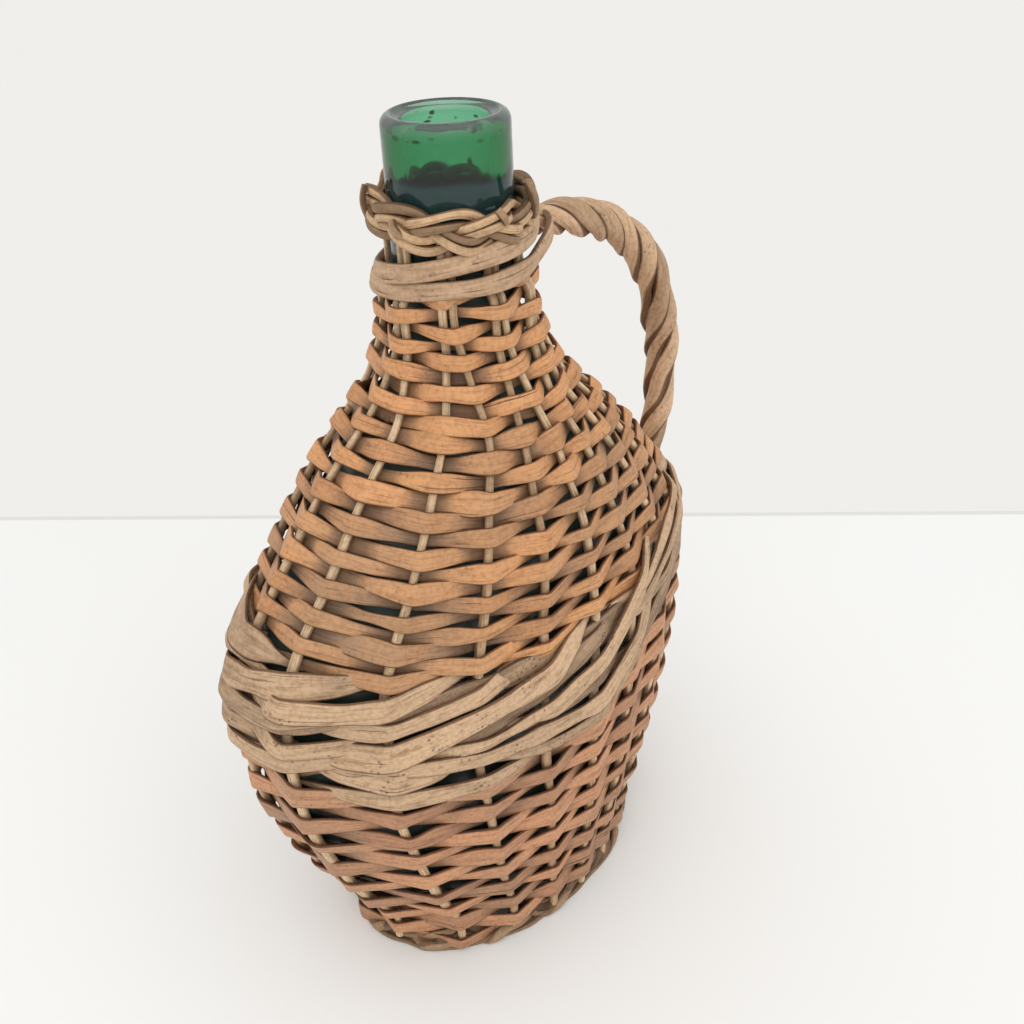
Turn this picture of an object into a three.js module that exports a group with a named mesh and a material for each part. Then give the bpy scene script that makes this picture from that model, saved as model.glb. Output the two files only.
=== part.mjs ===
import * as THREE from 'three';

// Flat oval glass flask in a woven willow jacket with a twisted carrying handle.
// Millimetres, +Z up. The long axis of the oval lies along X, with the handle on the +X edge.

// Glass bottle: half-length along X and half-width along Y at each level, and the rise up to that level
const heelHalfLength = 68.4;
const heelHalfWidth = 47.8;
const heelRise = 8;
const flankHalfLength = 89.5;
const flankHalfWidth = 50.2;
const flankRise = 42;
const bellyHalfLength = 104.4;
const bellyHalfWidth = 50.7;
const bellyRise = 62;
const crownHalfLength = 103;
const crownHalfWidth = 50.5;
const crownRise = 38;
const shoulderHalfLength = 78.5;
const shoulderHalfWidth = 47.6;
const shoulderRise = 37;
const slopeHalfLength = 55;
const slopeHalfWidth = 39.6;
const slopeRise = 28;
const throatHalfLength = 31.6;
const throatHalfWidth = 28.9;
const throatRise = 24;
const neckRadius = 21.8;
const neckRise = 25;
const lipRadius = 21;
const lipRise = 68;
const lipRound = 2.6;
const boreRadius = 14;
const glassWall = 3.2;
const glassFloor = 5;

// Upright stakes: paired round the neck, spread singly over the body, with one short extra stake
const pairCount = 9;
const stakeRadius = 1.9;
const stakeTipRadius = 1.4;
const pairGap = 0.5;
const firstStakeAngle = THREE.MathUtils.degToRad(165);
const firstPairAngle = THREE.MathUtils.degToRad(185);
const spreadHeight = 52;

// Split-willow weavers
const skeinThickness = 1.6;
const skeinWidth = 5.7;
const lowerSkeinWidth = 4.9;
const lowerSkeinCount = 6;
const upperSkeinCount = 6;
const rowGap = 0.7;
const lowerRowGap = 2.9;
const lowerWeaveHeight = 105;
const neckWeaveHeight = 45;
const endGap = 3;
const seamAngle = THREE.MathUtils.degToRad(90);
const skeinTail = 0.45;

// Wale: the pale band of broad skeins round the belly
const waleCount = 5;
const waleOver = 4;
const waleWidth = 8.6;
const waleHeight = 53;
const waleLowLift = 29;
const waleTopLift = 18;
const liftFade = 1.8;

// Neck bands and plaited border
const exposedNeck = 23.5;
const bandCount = 2;
const bandWidth = 6.6;
const bandThickness = 2.8;
const bandTilt = 3.2;
const bandCrest = THREE.MathUtils.degToRad(-45);
const plaitRodCount = 3;
const plaitRodRadius = 1.5;
const plaitHeight = 12.6;
const plaitLays = 3;
const plaitEase = 1.3;

// Carrying handle, a rope of five rods
const handleRodCount = 5;
const handleRodRadius = 2.4;
const handleLay = 48;
const handleEase = 1.28;
const handleDrop = 43;
const handleFootDrop = 159;
const handleRootPull = 81;
const handleFootPull = 66;
const handleFootLean = THREE.MathUtils.degToRad(22);

// Foot rope and woven base
const footRodCount = 2;
const footRodRadius = 2.2;
const footLay = 48;
const footFlat = 0.8;
const baseStickRadius = 1.75;
const longStickCount = 3;
const longStickSpacing = 12;
const shortStickCount = 5;
const shortStickSpacing = 21;
const baseRingCount = 2;
const groundClearance = 0.6;
const baseWeaveClearance = 1.2;

// Fits between neighbours, and how far a facet may stray from the true curve
const clearance = 0.3;
const weaveClearance = 0.8;
const jacketClearance = 1.05;
const chordError = 0.5;
const glassChordError = 1.1;
const stripChordError = 1.15;
const neckChordError = 0.6;
const glassSides = 28;
const rodSides = 5;
const stakeSides = 4;
const laySteps = 7;
const plaitLaySteps = 12;
const footLaySteps = 6;
const bandSteps = 24;
const cornerSteps = 3;
const profileSteps = 240;
const slopeStep = 1;

const FULL_TURN = 2 * Math.PI;
const UP = new THREE.Vector3(0, 0, 1);
const { clamp, lerp, smoothstep } = THREE.MathUtils;

// Heights of the base layers, of the bottle's levels and of the woven zones
const skeinReach = weaveClearance + skeinThickness;
const baseSwing = baseStickRadius + baseWeaveClearance + skeinThickness / 2;
const longStickHeight = groundClearance + skeinThickness / 2 + baseSwing;
const shortStickHeight = longStickHeight + 2 * baseStickRadius + clearance;
const glassFoot = shortStickHeight + baseSwing + skeinThickness / 2 + clearance;
const rises = [heelRise, flankRise, bellyRise, crownRise, shoulderRise, slopeRise, throatRise, neckRise,
  lipRise];
const levels = rises.map((_, i) => glassFoot + rises.slice(0, i + 1).reduce((sum, rise) => sum + rise));
const heelTop = levels[0];
const neckFoot = levels[7];
const lipTop = levels[8];

const footHelixRadius = footRodRadius + clearance;
const footRadius = footHelixRadius + footRodRadius;
const footHeight = footRadius - footFlat;
const weaveFoot = footHeight + footRadius + clearance;
const waleFoot = weaveFoot + lowerWeaveHeight;
const waleTop = waleFoot + waleHeight;
const plaitTop = lipTop - exposedNeck;
const bandTop = plaitTop - plaitHeight - clearance;
const bandPitch = bandWidth + clearance;
const weaveTop = bandTop - bandCount * bandPitch - 2 * bandTilt;
const splitHeight = weaveTop - neckWeaveHeight;
const spreadTop = weaveTop - clearance;
const spreadFoot = spreadTop - spreadHeight;

// A smooth outline through values at given heights, with no overshoot between them
function outline(heights, values) {
  const rate = heights.slice(1).map((h, i) => (values[i + 1] - values[i]) / (h - heights[i]));
  const slope = heights.map((_, i) => {
    const below = rate[Math.max(i - 1, 0)];
    const above = rate[Math.min(i, rate.length - 1)];
    return below * above > 0 ? (2 * below * above) / (below + above) : 0;
  });
  return (height) => {
    const z = clamp(height, heights[0], heights.at(-1));
    const i = Math.min(Math.max(heights.findIndex((h) => h >= z) - 1, 0), rate.length - 1);
    const span = heights[i + 1] - heights[i];
    const s = (z - heights[i]) / span;
    const rise = s * s * (3 - 2 * s);
    const bend = s * (1 - s) * span * ((1 - s) * slope[i] - s * slope[i + 1]);
    return lerp(values[i], values[i + 1], rise) + bend;
  };
}

const halfLengths = [heelHalfLength, flankHalfLength, bellyHalfLength, crownHalfLength, shoulderHalfLength,
  slopeHalfLength, throatHalfLength, neckRadius, lipRadius];
const halfWidths = [heelHalfWidth, flankHalfWidth, bellyHalfWidth, crownHalfWidth, shoulderHalfWidth,
  slopeHalfWidth, throatHalfWidth, neckRadius, lipRadius];
const bodyLength = outline(levels, halfLengths);
const bodyWidth = outline(levels, halfWidths);
const insideOf = (sizes) => sizes.map((size, i) => (levels[i] < neckFoot ? size - glassWall : boreRadius));
const insideLength = outline(levels, insideOf(halfLengths));
const insideWidth = outline(levels, insideOf(halfWidths));

// Point and outward normal of the bottle's side at an angle and height, moved out along the normal
function onBottle(angle, height, offset) {
  const [c, s] = [Math.cos(angle), Math.sin(angle)];
  const [length, width] = [bodyLength(height), bodyWidth(height)];
  const [above, below] = [height + slopeStep / 2, height - slopeStep / 2];
  const lengthSlope = (bodyLength(above) - bodyLength(below)) / slopeStep / length;
  const widthSlope = (bodyWidth(above) - bodyWidth(below)) / slopeStep / width;
  const rise = -(lengthSlope * c * c + widthSlope * s * s);
  const out = new THREE.Vector3(c / length, s / width, rise).normalize();
  const point = new THREE.Vector3(length * c, width * s, height).addScaledVector(out, offset);
  return { point, out };
}

// A closed solid through equal rings of points, capped at both ends, with its faces pointing out
function loft(rings) {
  const count = rings[0].length;
  const corners = rings.flat();
  const faces = [];
  for (let i = 0; i + 1 < rings.length; i += 1) {
    for (let j = 0; j < count; j += 1) {
      const a = i * count + j;
      const b = i * count + ((j + 1) % count);
      faces.push([a, b, b + count], [a, b + count, a + count]);
    }
  }
  const last = (rings.length - 1) * count;
  for (let j = 1; j + 1 < count; j += 1) {
    faces.push([0, j + 1, j], [last, last + j, last + j + 1]);
  }
  const cross = new THREE.Vector3();
  const volume = faces.reduce(
    (sum, [a, b, c]) => sum + cross.crossVectors(corners[b], corners[c]).dot(corners[a]), 0);
  const outward = volume > 0 ? faces : faces.map(([a, b, c]) => [a, c, b]);
  const geometry = new THREE.BufferGeometry().setFromPoints(corners);
  geometry.setIndex(outward.flat());
  geometry.computeVertexNormals();
  return geometry;
}

// Fewest stations of a path that keep every dropped one within the allowed error
function thin(path, allowed = chordError) {
  if (path.length < 3) return path;
  const chord = new THREE.Line3(path[0].point, path.at(-1).point);
  const foot = new THREE.Vector3();
  const strays = path.map(({ point }) => chord.closestPointToPoint(point, true, foot).distanceTo(point));
  const worst = Math.max(...strays);
  if (worst <= allowed) return [path[0], path.at(-1)];
  const k = strays.indexOf(worst);
  return [...thin(path.slice(0, k + 1), allowed), ...thin(path.slice(k), allowed).slice(1)];
}

// Sweeps a section along a path whose stations hold a point, an outward direction and the section's points
function sweep(path) {
  const rings = path.map(({ point, out, section }, i) => {
    const ahead = path[Math.min(i + 1, path.length - 1)].point;
    const behind = path[Math.max(i - 1, 0)].point;
    const along = ahead.clone().sub(behind).normalize();
    const across = along.clone().cross(out).normalize();
    return section.map(([x, y]) => point.clone().addScaledVector(across, x).addScaledVector(out, y));
  });
  return loft(rings);
}

const strip = (width, thickness) => {
  const [w, t] = [width / 2, thickness / 2];
  return [[-w, -t], [w, -t], [w, t], [-w, t]];
};

const round = (radius, sides) => Array.from({ length: sides }, (_, i) => {
  const angle = ((i + 0.5) / sides) * FULL_TURN - Math.PI / 2;
  return [radius * Math.cos(angle), radius * Math.sin(angle)];
});

// Stakes stand at even spacing round the belly and draw together into pairs at the neck
const stakeCount = 2 * pairCount + 1;
const pairStep = FULL_TURN / (pairCount + 0.5);

function evenAngles() {
  const samples = 1440;
  const reach = [0];
  for (let i = 0; i < samples; i += 1) {
    const angle = firstStakeAngle + ((i + 0.5) / samples) * FULL_TURN;
    const speed = Math.hypot(bellyHalfLength * Math.sin(angle), bellyHalfWidth * Math.cos(angle));
    reach.push(reach[i] + speed);
  }
  return Array.from({ length: stakeCount }, (_, k) => {
    const want = (k / stakeCount) * reach[samples];
    return firstStakeAngle + (reach.findIndex((r) => r >= want) / samples) * FULL_TURN;
  });
}

const bodyAngles = evenAngles();
const pairHalfAngle = (stakeTipRadius + pairGap / 2) / (neckRadius + stakeTipRadius);
const neckAngles = bodyAngles.map((_, k) => {
  const pairAngle = firstPairAngle + Math.floor(k / 2) * pairStep;
  if (k === stakeCount - 1) return pairAngle - pairStep / 4;
  return pairAngle + (k % 2 ? pairHalfAngle : -pairHalfAngle);
});

const spread = (height) => smoothstep(height, spreadFoot, spreadTop);
const stakeAngle = (k, height) => lerp(bodyAngles[k], neckAngles[k], spread(height));
const stakeSize = (height) => lerp(stakeRadius, stakeTipRadius, smoothstep(height, waleTop, splitHeight));

// Distance from the glass to the stakes' centres: room for a weaver behind them, closing up above the weave
function stakeOffset(height) {
  const closing = smoothstep(height, weaveTop, weaveTop + bandPitch);
  return lerp(jacketClearance + skeinReach + stakeRadius, clearance + stakeTipRadius, closing);
}

const weaveOffset = stakeRadius + weaveClearance + skeinThickness / 2;

// Rows climb towards the narrow edges, most of all round the wale
function lift(height) {
  if (height < waleFoot) return waleLowLift * ((height - weaveFoot) / lowerWeaveHeight);
  if (height < waleTop) return lerp(waleLowLift, waleTopLift, (height - waleFoot) / waleHeight);
  return waleTopLift * Math.max((weaveTop - height) / (weaveTop - waleTop), 0) ** liftFade;
}

const rowHeight = (height, angle) => height + lift(height) * Math.cos(angle) ** 2;

function rowSpacing(height, pitch, angle) {
  const below = onBottle(angle, rowHeight(height - pitch / 2, angle), 0).point;
  return onBottle(angle, rowHeight(height + pitch / 2, angle), 0).point.distanceTo(below);
}

// The crossing's tail: the weaver runs on for part of the gap to the next group of stakes
function tail(crossings) {
  const [end] = crossings;
  const next = crossings.findIndex(({ side }) => side !== end.side);
  const reach = skeinTail * (crossings[next - 1].angle - crossings[next].angle);
  return { angle: end.angle + reach, height: end.height, side: 0 };
}

// A flat weaver through a list of crossings, each with an angle, a height and a side of its stake
function weaver(crossings, width, pitch, gap, chord = stripChordError) {
  const station = (from, to, q) => {
    const angle = lerp(from.angle, to.angle, q);
    const base = lerp(from.height, to.height, q);
    const height = rowHeight(base, angle);
    const offset = stakeOffset(height) + lerp(from.side, to.side, q) * weaveOffset;
    const fit = Math.min(width, rowSpacing(base, pitch, angle) - gap);
    return { ...onBottle(angle, height, offset), section: strip(fit, skeinThickness) };
  };
  const stops = [tail(crossings), ...crossings, tail([...crossings].reverse())];
  const path = [station(stops[0], stops[1], 0)];
  stops.slice(1).forEach((to, i) => {
    const span = [0, 0.5, 1].map((q) => station(stops[i], to, q));
    path.push(...thin(span, chord).slice(1));
  });
  return sweep(path);
}

// Crossings of one continuous weaver that climbs a zone, in front of one stake and behind the next
function climb(foot, top, width, gap, group, groupCount) {
  const rows = Math.max(Math.round((top - foot) / (width + gap)), 2);
  const pitch = (top - foot) / rows;
  const count = (rows - 1) * groupCount;
  const crossings = [];
  for (let k = 0; k <= count; k += 1) {
    const turn = Math.floor(k / groupCount);
    const height = foot + pitch * (0.5 + k / groupCount);
    group(k % groupCount).forEach((stake) => {
      const angle = stakeAngle(stake, rowHeight(height, bodyAngles[stake])) + turn * FULL_TURN;
      crossings.push({ angle, height, side: k % 2 ? 1 : -1 });
    });
  }
  return { crossings, pitch };
}

// Angle along a ring that starts and ends at the seam at the back, a little short of meeting itself
const ringAngle = (radius, s) => seamAngle + lerp(endGap / radius, FULL_TURN - endGap / radius, s);

const parts = new THREE.Group();

const looks = {
  glass: { color: 0x1f6b45, roughness: 0.12, metalness: 0 },
  stake: { color: 0xc2a06e, roughness: 0.6, metalness: 0 },
  upper: { color: 0xb98a5c, roughness: 0.55, metalness: 0 },
  lower: { color: 0xa5724c, roughness: 0.6, metalness: 0 },
  pale: { color: 0xc8ab86, roughness: 0.65, metalness: 0 },
  foot: { color: 0x8a6a4a, roughness: 0.8, metalness: 0 },
};
const materials = Object.fromEntries(
  Object.entries(looks).map(([name, look]) => [name, new THREE.MeshStandardMaterial(look)]));

function add(name, geometry, look) {
  const mesh = new THREE.Mesh(geometry, materials[look]);
  mesh.name = name;
  parts.add(mesh);
}

// Bottle: up the outside from the rounded heel, over the lip and down the bore to the inside floor
function glassBottle() {
  const ring = (length, width, height) => Array.from({ length: glassSides }, (_, i) => {
    const angle = (i / glassSides) * FULL_TURN;
    return new THREE.Vector3(length * Math.cos(angle), width * Math.sin(angle), height);
  });
  const quarter = Array.from({ length: cornerSteps + 1 }, (_, i) => (i / cornerSteps) * (Math.PI / 2));
  const rings = [];
  quarter.forEach((a) => {
    const inset = heelRise * (1 - Math.sin(a));
    rings.push(ring(heelHalfLength - inset, heelHalfWidth - inset, heelTop - heelRise * Math.cos(a)));
  });
  const profile = (length, width, foot, top) => {
    const stations = Array.from({ length: profileSteps + 1 }, (_, i) => {
      const z = lerp(foot, top, i / profileSteps);
      return { point: new THREE.Vector3(length(z), width(z), z) };
    });
    return thin(stations, glassChordError).map(({ point }) => ring(point.x, point.y, point.z));
  };
  rings.push(...profile(bodyLength, bodyWidth, heelTop, lipTop - lipRound).slice(1));
  quarter.slice(1).forEach((a) => {
    const radius = lipRadius - lipRound * (1 - Math.cos(a));
    rings.push(ring(radius, radius, lipTop - lipRound * (1 - Math.sin(a))));
  });
  rings.push(ring(boreRadius + lipRound / 2, boreRadius + lipRound / 2, lipTop));
  rings.push(ring(boreRadius, boreRadius, lipTop - lipRound / 2));
  const floor = glassFoot + glassFloor;
  rings.push(...profile(insideLength, insideWidth, floor, lipTop - lipRound).reverse());
  add('glass_bottle', loft(rings), 'glass');
}

// Stakes rise from the foot rope to the plaited border; the extra one stops where the pairs begin
function stakes() {
  const samples = 120;
  bodyAngles.forEach((_, k) => {
    const extra = k === stakeCount - 1;
    const top = extra ? splitHeight : bandTop;
    const path = Array.from({ length: samples + 1 }, (__, i) => {
      const height = lerp(weaveFoot, top, i / samples);
      const section = round(stakeSize(height), stakeSides);
      return { ...onBottle(stakeAngle(k, height), height, stakeOffset(height)), section };
    });
    const name = extra ? 'stake_extra' : `stake_${Math.floor(k / 2) + 1}${k % 2 ? 'b' : 'a'}`;
    add(name, sweep(thin(path)), 'stake');
  });
}

// Splits a climbing weaver into skeins that follow one another up the wall
function skeins(name, { crossings, pitch }, count, width, gap, look, chord) {
  for (let i = 0; i < count; i += 1) {
    const from = Math.round((i / count) * crossings.length);
    const to = Math.round(((i + 1) / count) * crossings.length);
    const label = count > 1 ? `${name}_${i + 1}` : name;
    add(label, weaver(crossings.slice(from, to), width, pitch, gap, chord), look);
  }
}

function weave() {
  const single = (k) => [k];
  const pair = (k) => [2 * k, 2 * k + 1];
  const lower = climb(weaveFoot, waleFoot, lowerSkeinWidth, lowerRowGap, single, stakeCount);
  const upper = climb(waleTop, splitHeight, skeinWidth, rowGap, single, stakeCount);
  const neck = climb(splitHeight, weaveTop, skeinWidth, rowGap, pair, pairCount);
  skeins('lower_skein', lower, lowerSkeinCount, lowerSkeinWidth, lowerRowGap, 'lower');
  skeins('upper_skein', upper, upperSkeinCount, skeinWidth, rowGap, 'upper');
  skeins('neck_skein', neck, 1, skeinWidth, rowGap, 'upper', neckChordError);
}

// Wale skeins run once round the belly from the seam, in front of four stakes and behind one
function wale() {
  const pitch = waleHeight / waleCount;
  const start = bodyAngles.findIndex((angle) => angle > FULL_TURN + seamAngle);
  for (let row = 0; row < waleCount; row += 1) {
    const height = waleFoot + pitch * (row + 0.5);
    const crossings = bodyAngles.map((_, i) => {
      const stake = (start + i) % stakeCount;
      const turn = start + i >= stakeCount ? FULL_TURN : 0;
      return { angle: bodyAngles[stake] + turn, height, side: (i + row) % (waleOver + 1) ? 1 : -1 };
    });
    add(`wale_${row + 1}`, weaver(crossings, waleWidth, pitch, rowGap), 'pale');
  }
}

// Radius of a neck band's middle, clear of the stakes along its lower edge
function bandRing(height) {
  const edge = height - bandWidth / 2;
  return bodyLength(edge) + stakeOffset(edge) + stakeSize(edge) + clearance + bandThickness / 2;
}

// Height of a neck band's middle, tilted up towards the handle's side
function bandLevel(band, angle) {
  return weaveTop + bandPitch * (band + 0.5) + bandTilt * (1 + Math.cos(angle - bandCrest));
}

const bandReach = bandRing(bandLevel(0, 0)) + bandThickness / 2;

// Pale bands wrapped round the stakes under the border
function neckBands() {
  for (let band = 0; band < bandCount; band += 1) {
    const path = Array.from({ length: bandSteps + 1 }, (_, i) => {
      const angle = ringAngle(bandReach, i / bandSteps);
      const height = bandLevel(band, angle);
      const out = new THREE.Vector3(Math.cos(angle), Math.sin(angle), 0);
      const point = out.clone().multiplyScalar(bandRing(height)).setZ(height);
      return { point, out, section: strip(bandWidth, bandThickness) };
    });
    add(`neck_band_${band + 1}`, sweep(path), 'pale');
  }
}

const plaitSwing = plaitHeight / 2 - plaitRodRadius;
const plaitDepth = plaitEase * (2 * plaitRodRadius + clearance) / Math.sqrt(3);
const plaitRing = neckRadius + clearance + plaitRodRadius + plaitDepth;
const plaitReach = plaitRing + plaitDepth + plaitRodRadius;

// Three-rod plait round the neck: each rod swings up and down, and in and out twice as fast
function plaitedBorder() {
  const samples = plaitLays * plaitLaySteps;
  for (let rod = 0; rod < plaitRodCount; rod += 1) {
    const path = Array.from({ length: samples + 1 }, (_, i) => {
      const angle = ringAngle(plaitRing, i / samples);
      const phase = plaitLays * angle + (rod / plaitRodCount) * FULL_TURN;
      const out = new THREE.Vector3(Math.cos(angle), Math.sin(angle), 0);
      const height = plaitTop - plaitHeight / 2 + plaitSwing * Math.sin(phase);
      const point = out.clone().multiplyScalar(plaitRing + plaitDepth * Math.sin(2 * phase)).setZ(height);
      return { point, out, section: round(plaitRodRadius, stakeSides) };
    });
    add(`plait_rod_${rod + 1}`, sweep(path), 'stake');
  }
}

const handleHelixRadius = handleEase * (handleRodRadius + clearance / 2) / Math.sin(Math.PI / handleRodCount);

// Rope handle: rods twisted round a curve from the neck out and down to the shoulder
function handle() {
  const footLevel = lipTop - handleFootDrop;
  const bodyReach = stakeOffset(footLevel) + weaveOffset + skeinThickness / 2;
  const foot = onBottle(0, footLevel, bodyReach).point;
  foot.x += handleHelixRadius * Math.cos(Math.PI / handleRodCount) + handleRodRadius + clearance;
  const root = new THREE.Vector3(Math.max(bandReach, plaitReach), 0, lipTop - handleDrop);
  const rootPull = root.clone().add(new THREE.Vector3(handleRootPull, 0, 0));
  const lean = new THREE.Vector3(Math.sin(handleFootLean), 0, Math.cos(handleFootLean));
  const footPull = foot.clone().addScaledVector(lean, handleFootPull);
  const curve = new THREE.CubicBezierCurve3(root, rootPull, footPull, foot);
  const length = curve.getLength();
  const turns = Math.max(Math.round(length / handleLay), 1);
  const samples = turns * laySteps;
  const side = new THREE.Vector3(0, 1, 0);
  for (let rod = 0; rod < handleRodCount; rod += 1) {
    const path = Array.from({ length: samples + 1 }, (_, i) => {
      const s = i / samples;
      const angle = (s * turns + rod / handleRodCount) * FULL_TURN;
      const bow = curve.getTangentAt(s).cross(side).normalize();
      const out = bow.multiplyScalar(Math.cos(angle)).addScaledVector(side, -Math.sin(angle));
      const point = curve.getPointAt(s).addScaledVector(out, handleHelixRadius);
      return { point, out, section: round(handleRodRadius, rodSides) };
    });
    add(`handle_rod_${rod + 1}`, sweep(path), 'pale');
  }
}

// Oval ring that the foot rope follows, under the stakes' lower ends
const footLength = heelHalfLength + stakeOffset(weaveFoot);
const footWidth = heelHalfWidth + stakeOffset(weaveFoot);

// Two-rod rope round the base, pressed flat where it stands
function footRope() {
  const lays = Math.round((Math.PI * (footLength + footWidth)) / footLay);
  const samples = lays * footLaySteps;
  for (let rod = 0; rod < footRodCount; rod += 1) {
    const path = Array.from({ length: samples + 1 }, (_, i) => {
      const angle = ringAngle(footWidth, i / samples);
      const phase = ((i + 0.5) / footLaySteps + rod / footRodCount) * FULL_TURN;
      const [c, s] = [Math.cos(angle), Math.sin(angle)];
      const away = new THREE.Vector3(c / footLength, s / footWidth, 0).normalize();
      const point = new THREE.Vector3(footLength * c, footWidth * s, footHeight);
      point.addScaledVector(away, footHelixRadius * Math.sin(phase));
      point.z -= footHelixRadius * Math.cos(phase);
      return { point, out: UP, section: round(footRodRadius, rodSides) };
    });
    const geometry = sweep(path);
    const position = geometry.attributes.position;
    for (let i = 0; i < position.count; i += 1) {
      position.setZ(i, Math.max(position.getZ(i), 0));
    }
    add(`foot_rod_${rod + 1}`, geometry, 'foot');
  }
}

// Oval that the base sticks end on, inside the foot rope
const baseLength = footLength - footRadius - clearance;
const baseWidth = footWidth - footRadius - clearance;

// Crossed sticks of the base, the short ones on top; gives back their ends
function baseSticks() {
  const centred = (count, spacing) => (
    Array.from({ length: count }, (_, i) => (i - (count - 1) / 2) * spacing));
  const stick = (from, to) => sweep([from, to].map((point) => (
    { point, out: UP, section: round(baseStickRadius, rodSides) })));
  const ends = [];
  centred(longStickCount, longStickSpacing).forEach((y, i) => {
    const x = baseLength * Math.sqrt(1 - (y / baseWidth) ** 2) - baseStickRadius;
    const pair = [-x, x].map((end) => new THREE.Vector3(end, y, longStickHeight));
    add(`base_long_stick_${i + 1}`, stick(...pair), 'stake');
    ends.push(...pair);
  });
  centred(shortStickCount, shortStickSpacing).forEach((x, i) => {
    const y = baseWidth * Math.sqrt(1 - (x / baseLength) ** 2) - baseStickRadius;
    const pair = [-y, y].map((end) => new THREE.Vector3(x, end, shortStickHeight));
    add(`base_short_stick_${i + 1}`, stick(...pair), 'stake');
    ends.push(...pair);
  });
  return ends;
}

// Base weavers run round the sticks' outer ends, over one and under the next
function baseWeavers(stickEnds) {
  const pitch = lowerSkeinWidth + rowGap;
  for (let ring = 0; ring < baseRingCount; ring += 1) {
    const inset = baseStickRadius + pitch * (ring + 1);
    const [length, width] = [baseLength - inset, baseWidth - inset];
    const crossings = stickEnds.map(({ x, y, z }) => {
      const angle = z === longStickHeight
        ? Math.atan2(y / width, Math.sign(x) * Math.sqrt(1 - (y / width) ** 2))
        : Math.atan2(Math.sign(y) * Math.sqrt(1 - (x / length) ** 2), x / length);
      return { angle, height: z };
    }).sort((p, q) => p.angle - q.angle);
    const path = [];
    crossings.slice(1).forEach((to, i) => {
      const from = crossings[i];
      const side = (i + ring) % 2 ? 1 : -1;
      const span = [0, 0.5, 1].map((q) => {
        const angle = lerp(from.angle, to.angle, q);
        const height = lerp(from.height + side * baseSwing, to.height - side * baseSwing, q);
        const point = new THREE.Vector3(length * Math.cos(angle), width * Math.sin(angle), height);
        return { point, out: UP, section: strip(lowerSkeinWidth, skeinThickness) };
      });
      path.push(...thin(span).slice(i ? 1 : 0));
    });
    add(`base_weaver_${ring + 1}`, sweep(path), 'lower');
  }
}

glassBottle();
stakes();
weave();
wale();
neckBands();
plaitedBorder();
handle();
footRope();
baseWeavers(baseSticks());

// The origin is the middle of the object's box, on the ground
const box = new THREE.Box3().setFromObject(parts);
parts.position.x = -(box.min.x + box.max.x) / 2;

export default parts;
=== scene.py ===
import math

import bpy
import numpy as np
from mathutils import Matrix, Vector


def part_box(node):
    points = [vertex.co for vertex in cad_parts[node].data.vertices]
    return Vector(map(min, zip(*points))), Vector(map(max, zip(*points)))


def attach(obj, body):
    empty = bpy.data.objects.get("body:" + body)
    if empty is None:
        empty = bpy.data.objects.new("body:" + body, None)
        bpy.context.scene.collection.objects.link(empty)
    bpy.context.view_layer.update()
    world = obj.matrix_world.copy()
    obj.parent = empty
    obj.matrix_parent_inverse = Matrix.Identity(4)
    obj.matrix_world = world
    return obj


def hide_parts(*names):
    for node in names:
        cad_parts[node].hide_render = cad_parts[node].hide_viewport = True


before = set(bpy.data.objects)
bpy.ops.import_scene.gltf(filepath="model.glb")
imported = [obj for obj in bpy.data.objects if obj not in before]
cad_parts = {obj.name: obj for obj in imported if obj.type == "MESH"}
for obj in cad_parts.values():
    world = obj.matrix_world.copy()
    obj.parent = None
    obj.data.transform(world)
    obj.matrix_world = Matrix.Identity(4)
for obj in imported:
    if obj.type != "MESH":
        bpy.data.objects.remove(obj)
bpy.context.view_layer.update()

bl_info = {
    "name": "Wicker demijohn",
    "version": (1, 0, 0),
    "blender": (4, 5, 0),
    "location": "3D View > Sidebar > Demijohn",
    "description": "Dresses a wicker-covered glass demijohn and its studio stage",
    "category": "Add Mesh",
}

GLASS_LOW, GLASS_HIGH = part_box("glass_bottle")
AXIS_X = (GLASS_LOW.x + GLASS_HIGH.x) / 2
LIP_TOP = GLASS_HIGH.z
STAKE_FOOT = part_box("stake_1a")[0].z
FULL_TURN = 2 * math.pi
UP = np.array([0.0, 0.0, 1.0])


def length(name, description, default):
    """A size in metres."""
    return bpy.props.FloatProperty(
        name=name, description=description, default=default, min=0.0, precision=4,
        subtype="DISTANCE", unit="LENGTH")


def lengths(name, description, default):
    """A row of sizes in metres."""
    return bpy.props.FloatVectorProperty(
        name=name, description=description, default=default, size=len(default), precision=4,
        subtype="NONE", unit="LENGTH")


def angle(name, description, degrees):
    """An angle, given in degrees."""
    return bpy.props.FloatProperty(
        name=name, description=description, default=math.radians(degrees), subtype="ANGLE", unit="ROTATION")


def angles(name, description, degrees):
    """A row of angles, given in degrees."""
    return bpy.props.FloatVectorProperty(
        name=name, description=description, default=[math.radians(d) for d in degrees], size=len(degrees),
        subtype="NONE", unit="ROTATION")


def count(name, description, default):
    """A whole number of pieces."""
    return bpy.props.IntProperty(name=name, description=description, default=default, min=1)


def share(name, description, default):
    """A part of one."""
    return bpy.props.FloatProperty(name=name, description=description, default=default, subtype="FACTOR")


def colour(name, description, default):
    """A linear colour."""
    return bpy.props.FloatVectorProperty(
        name=name, description=description, default=default, size=3, min=0.0, max=1.0, subtype="COLOR")


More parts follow.
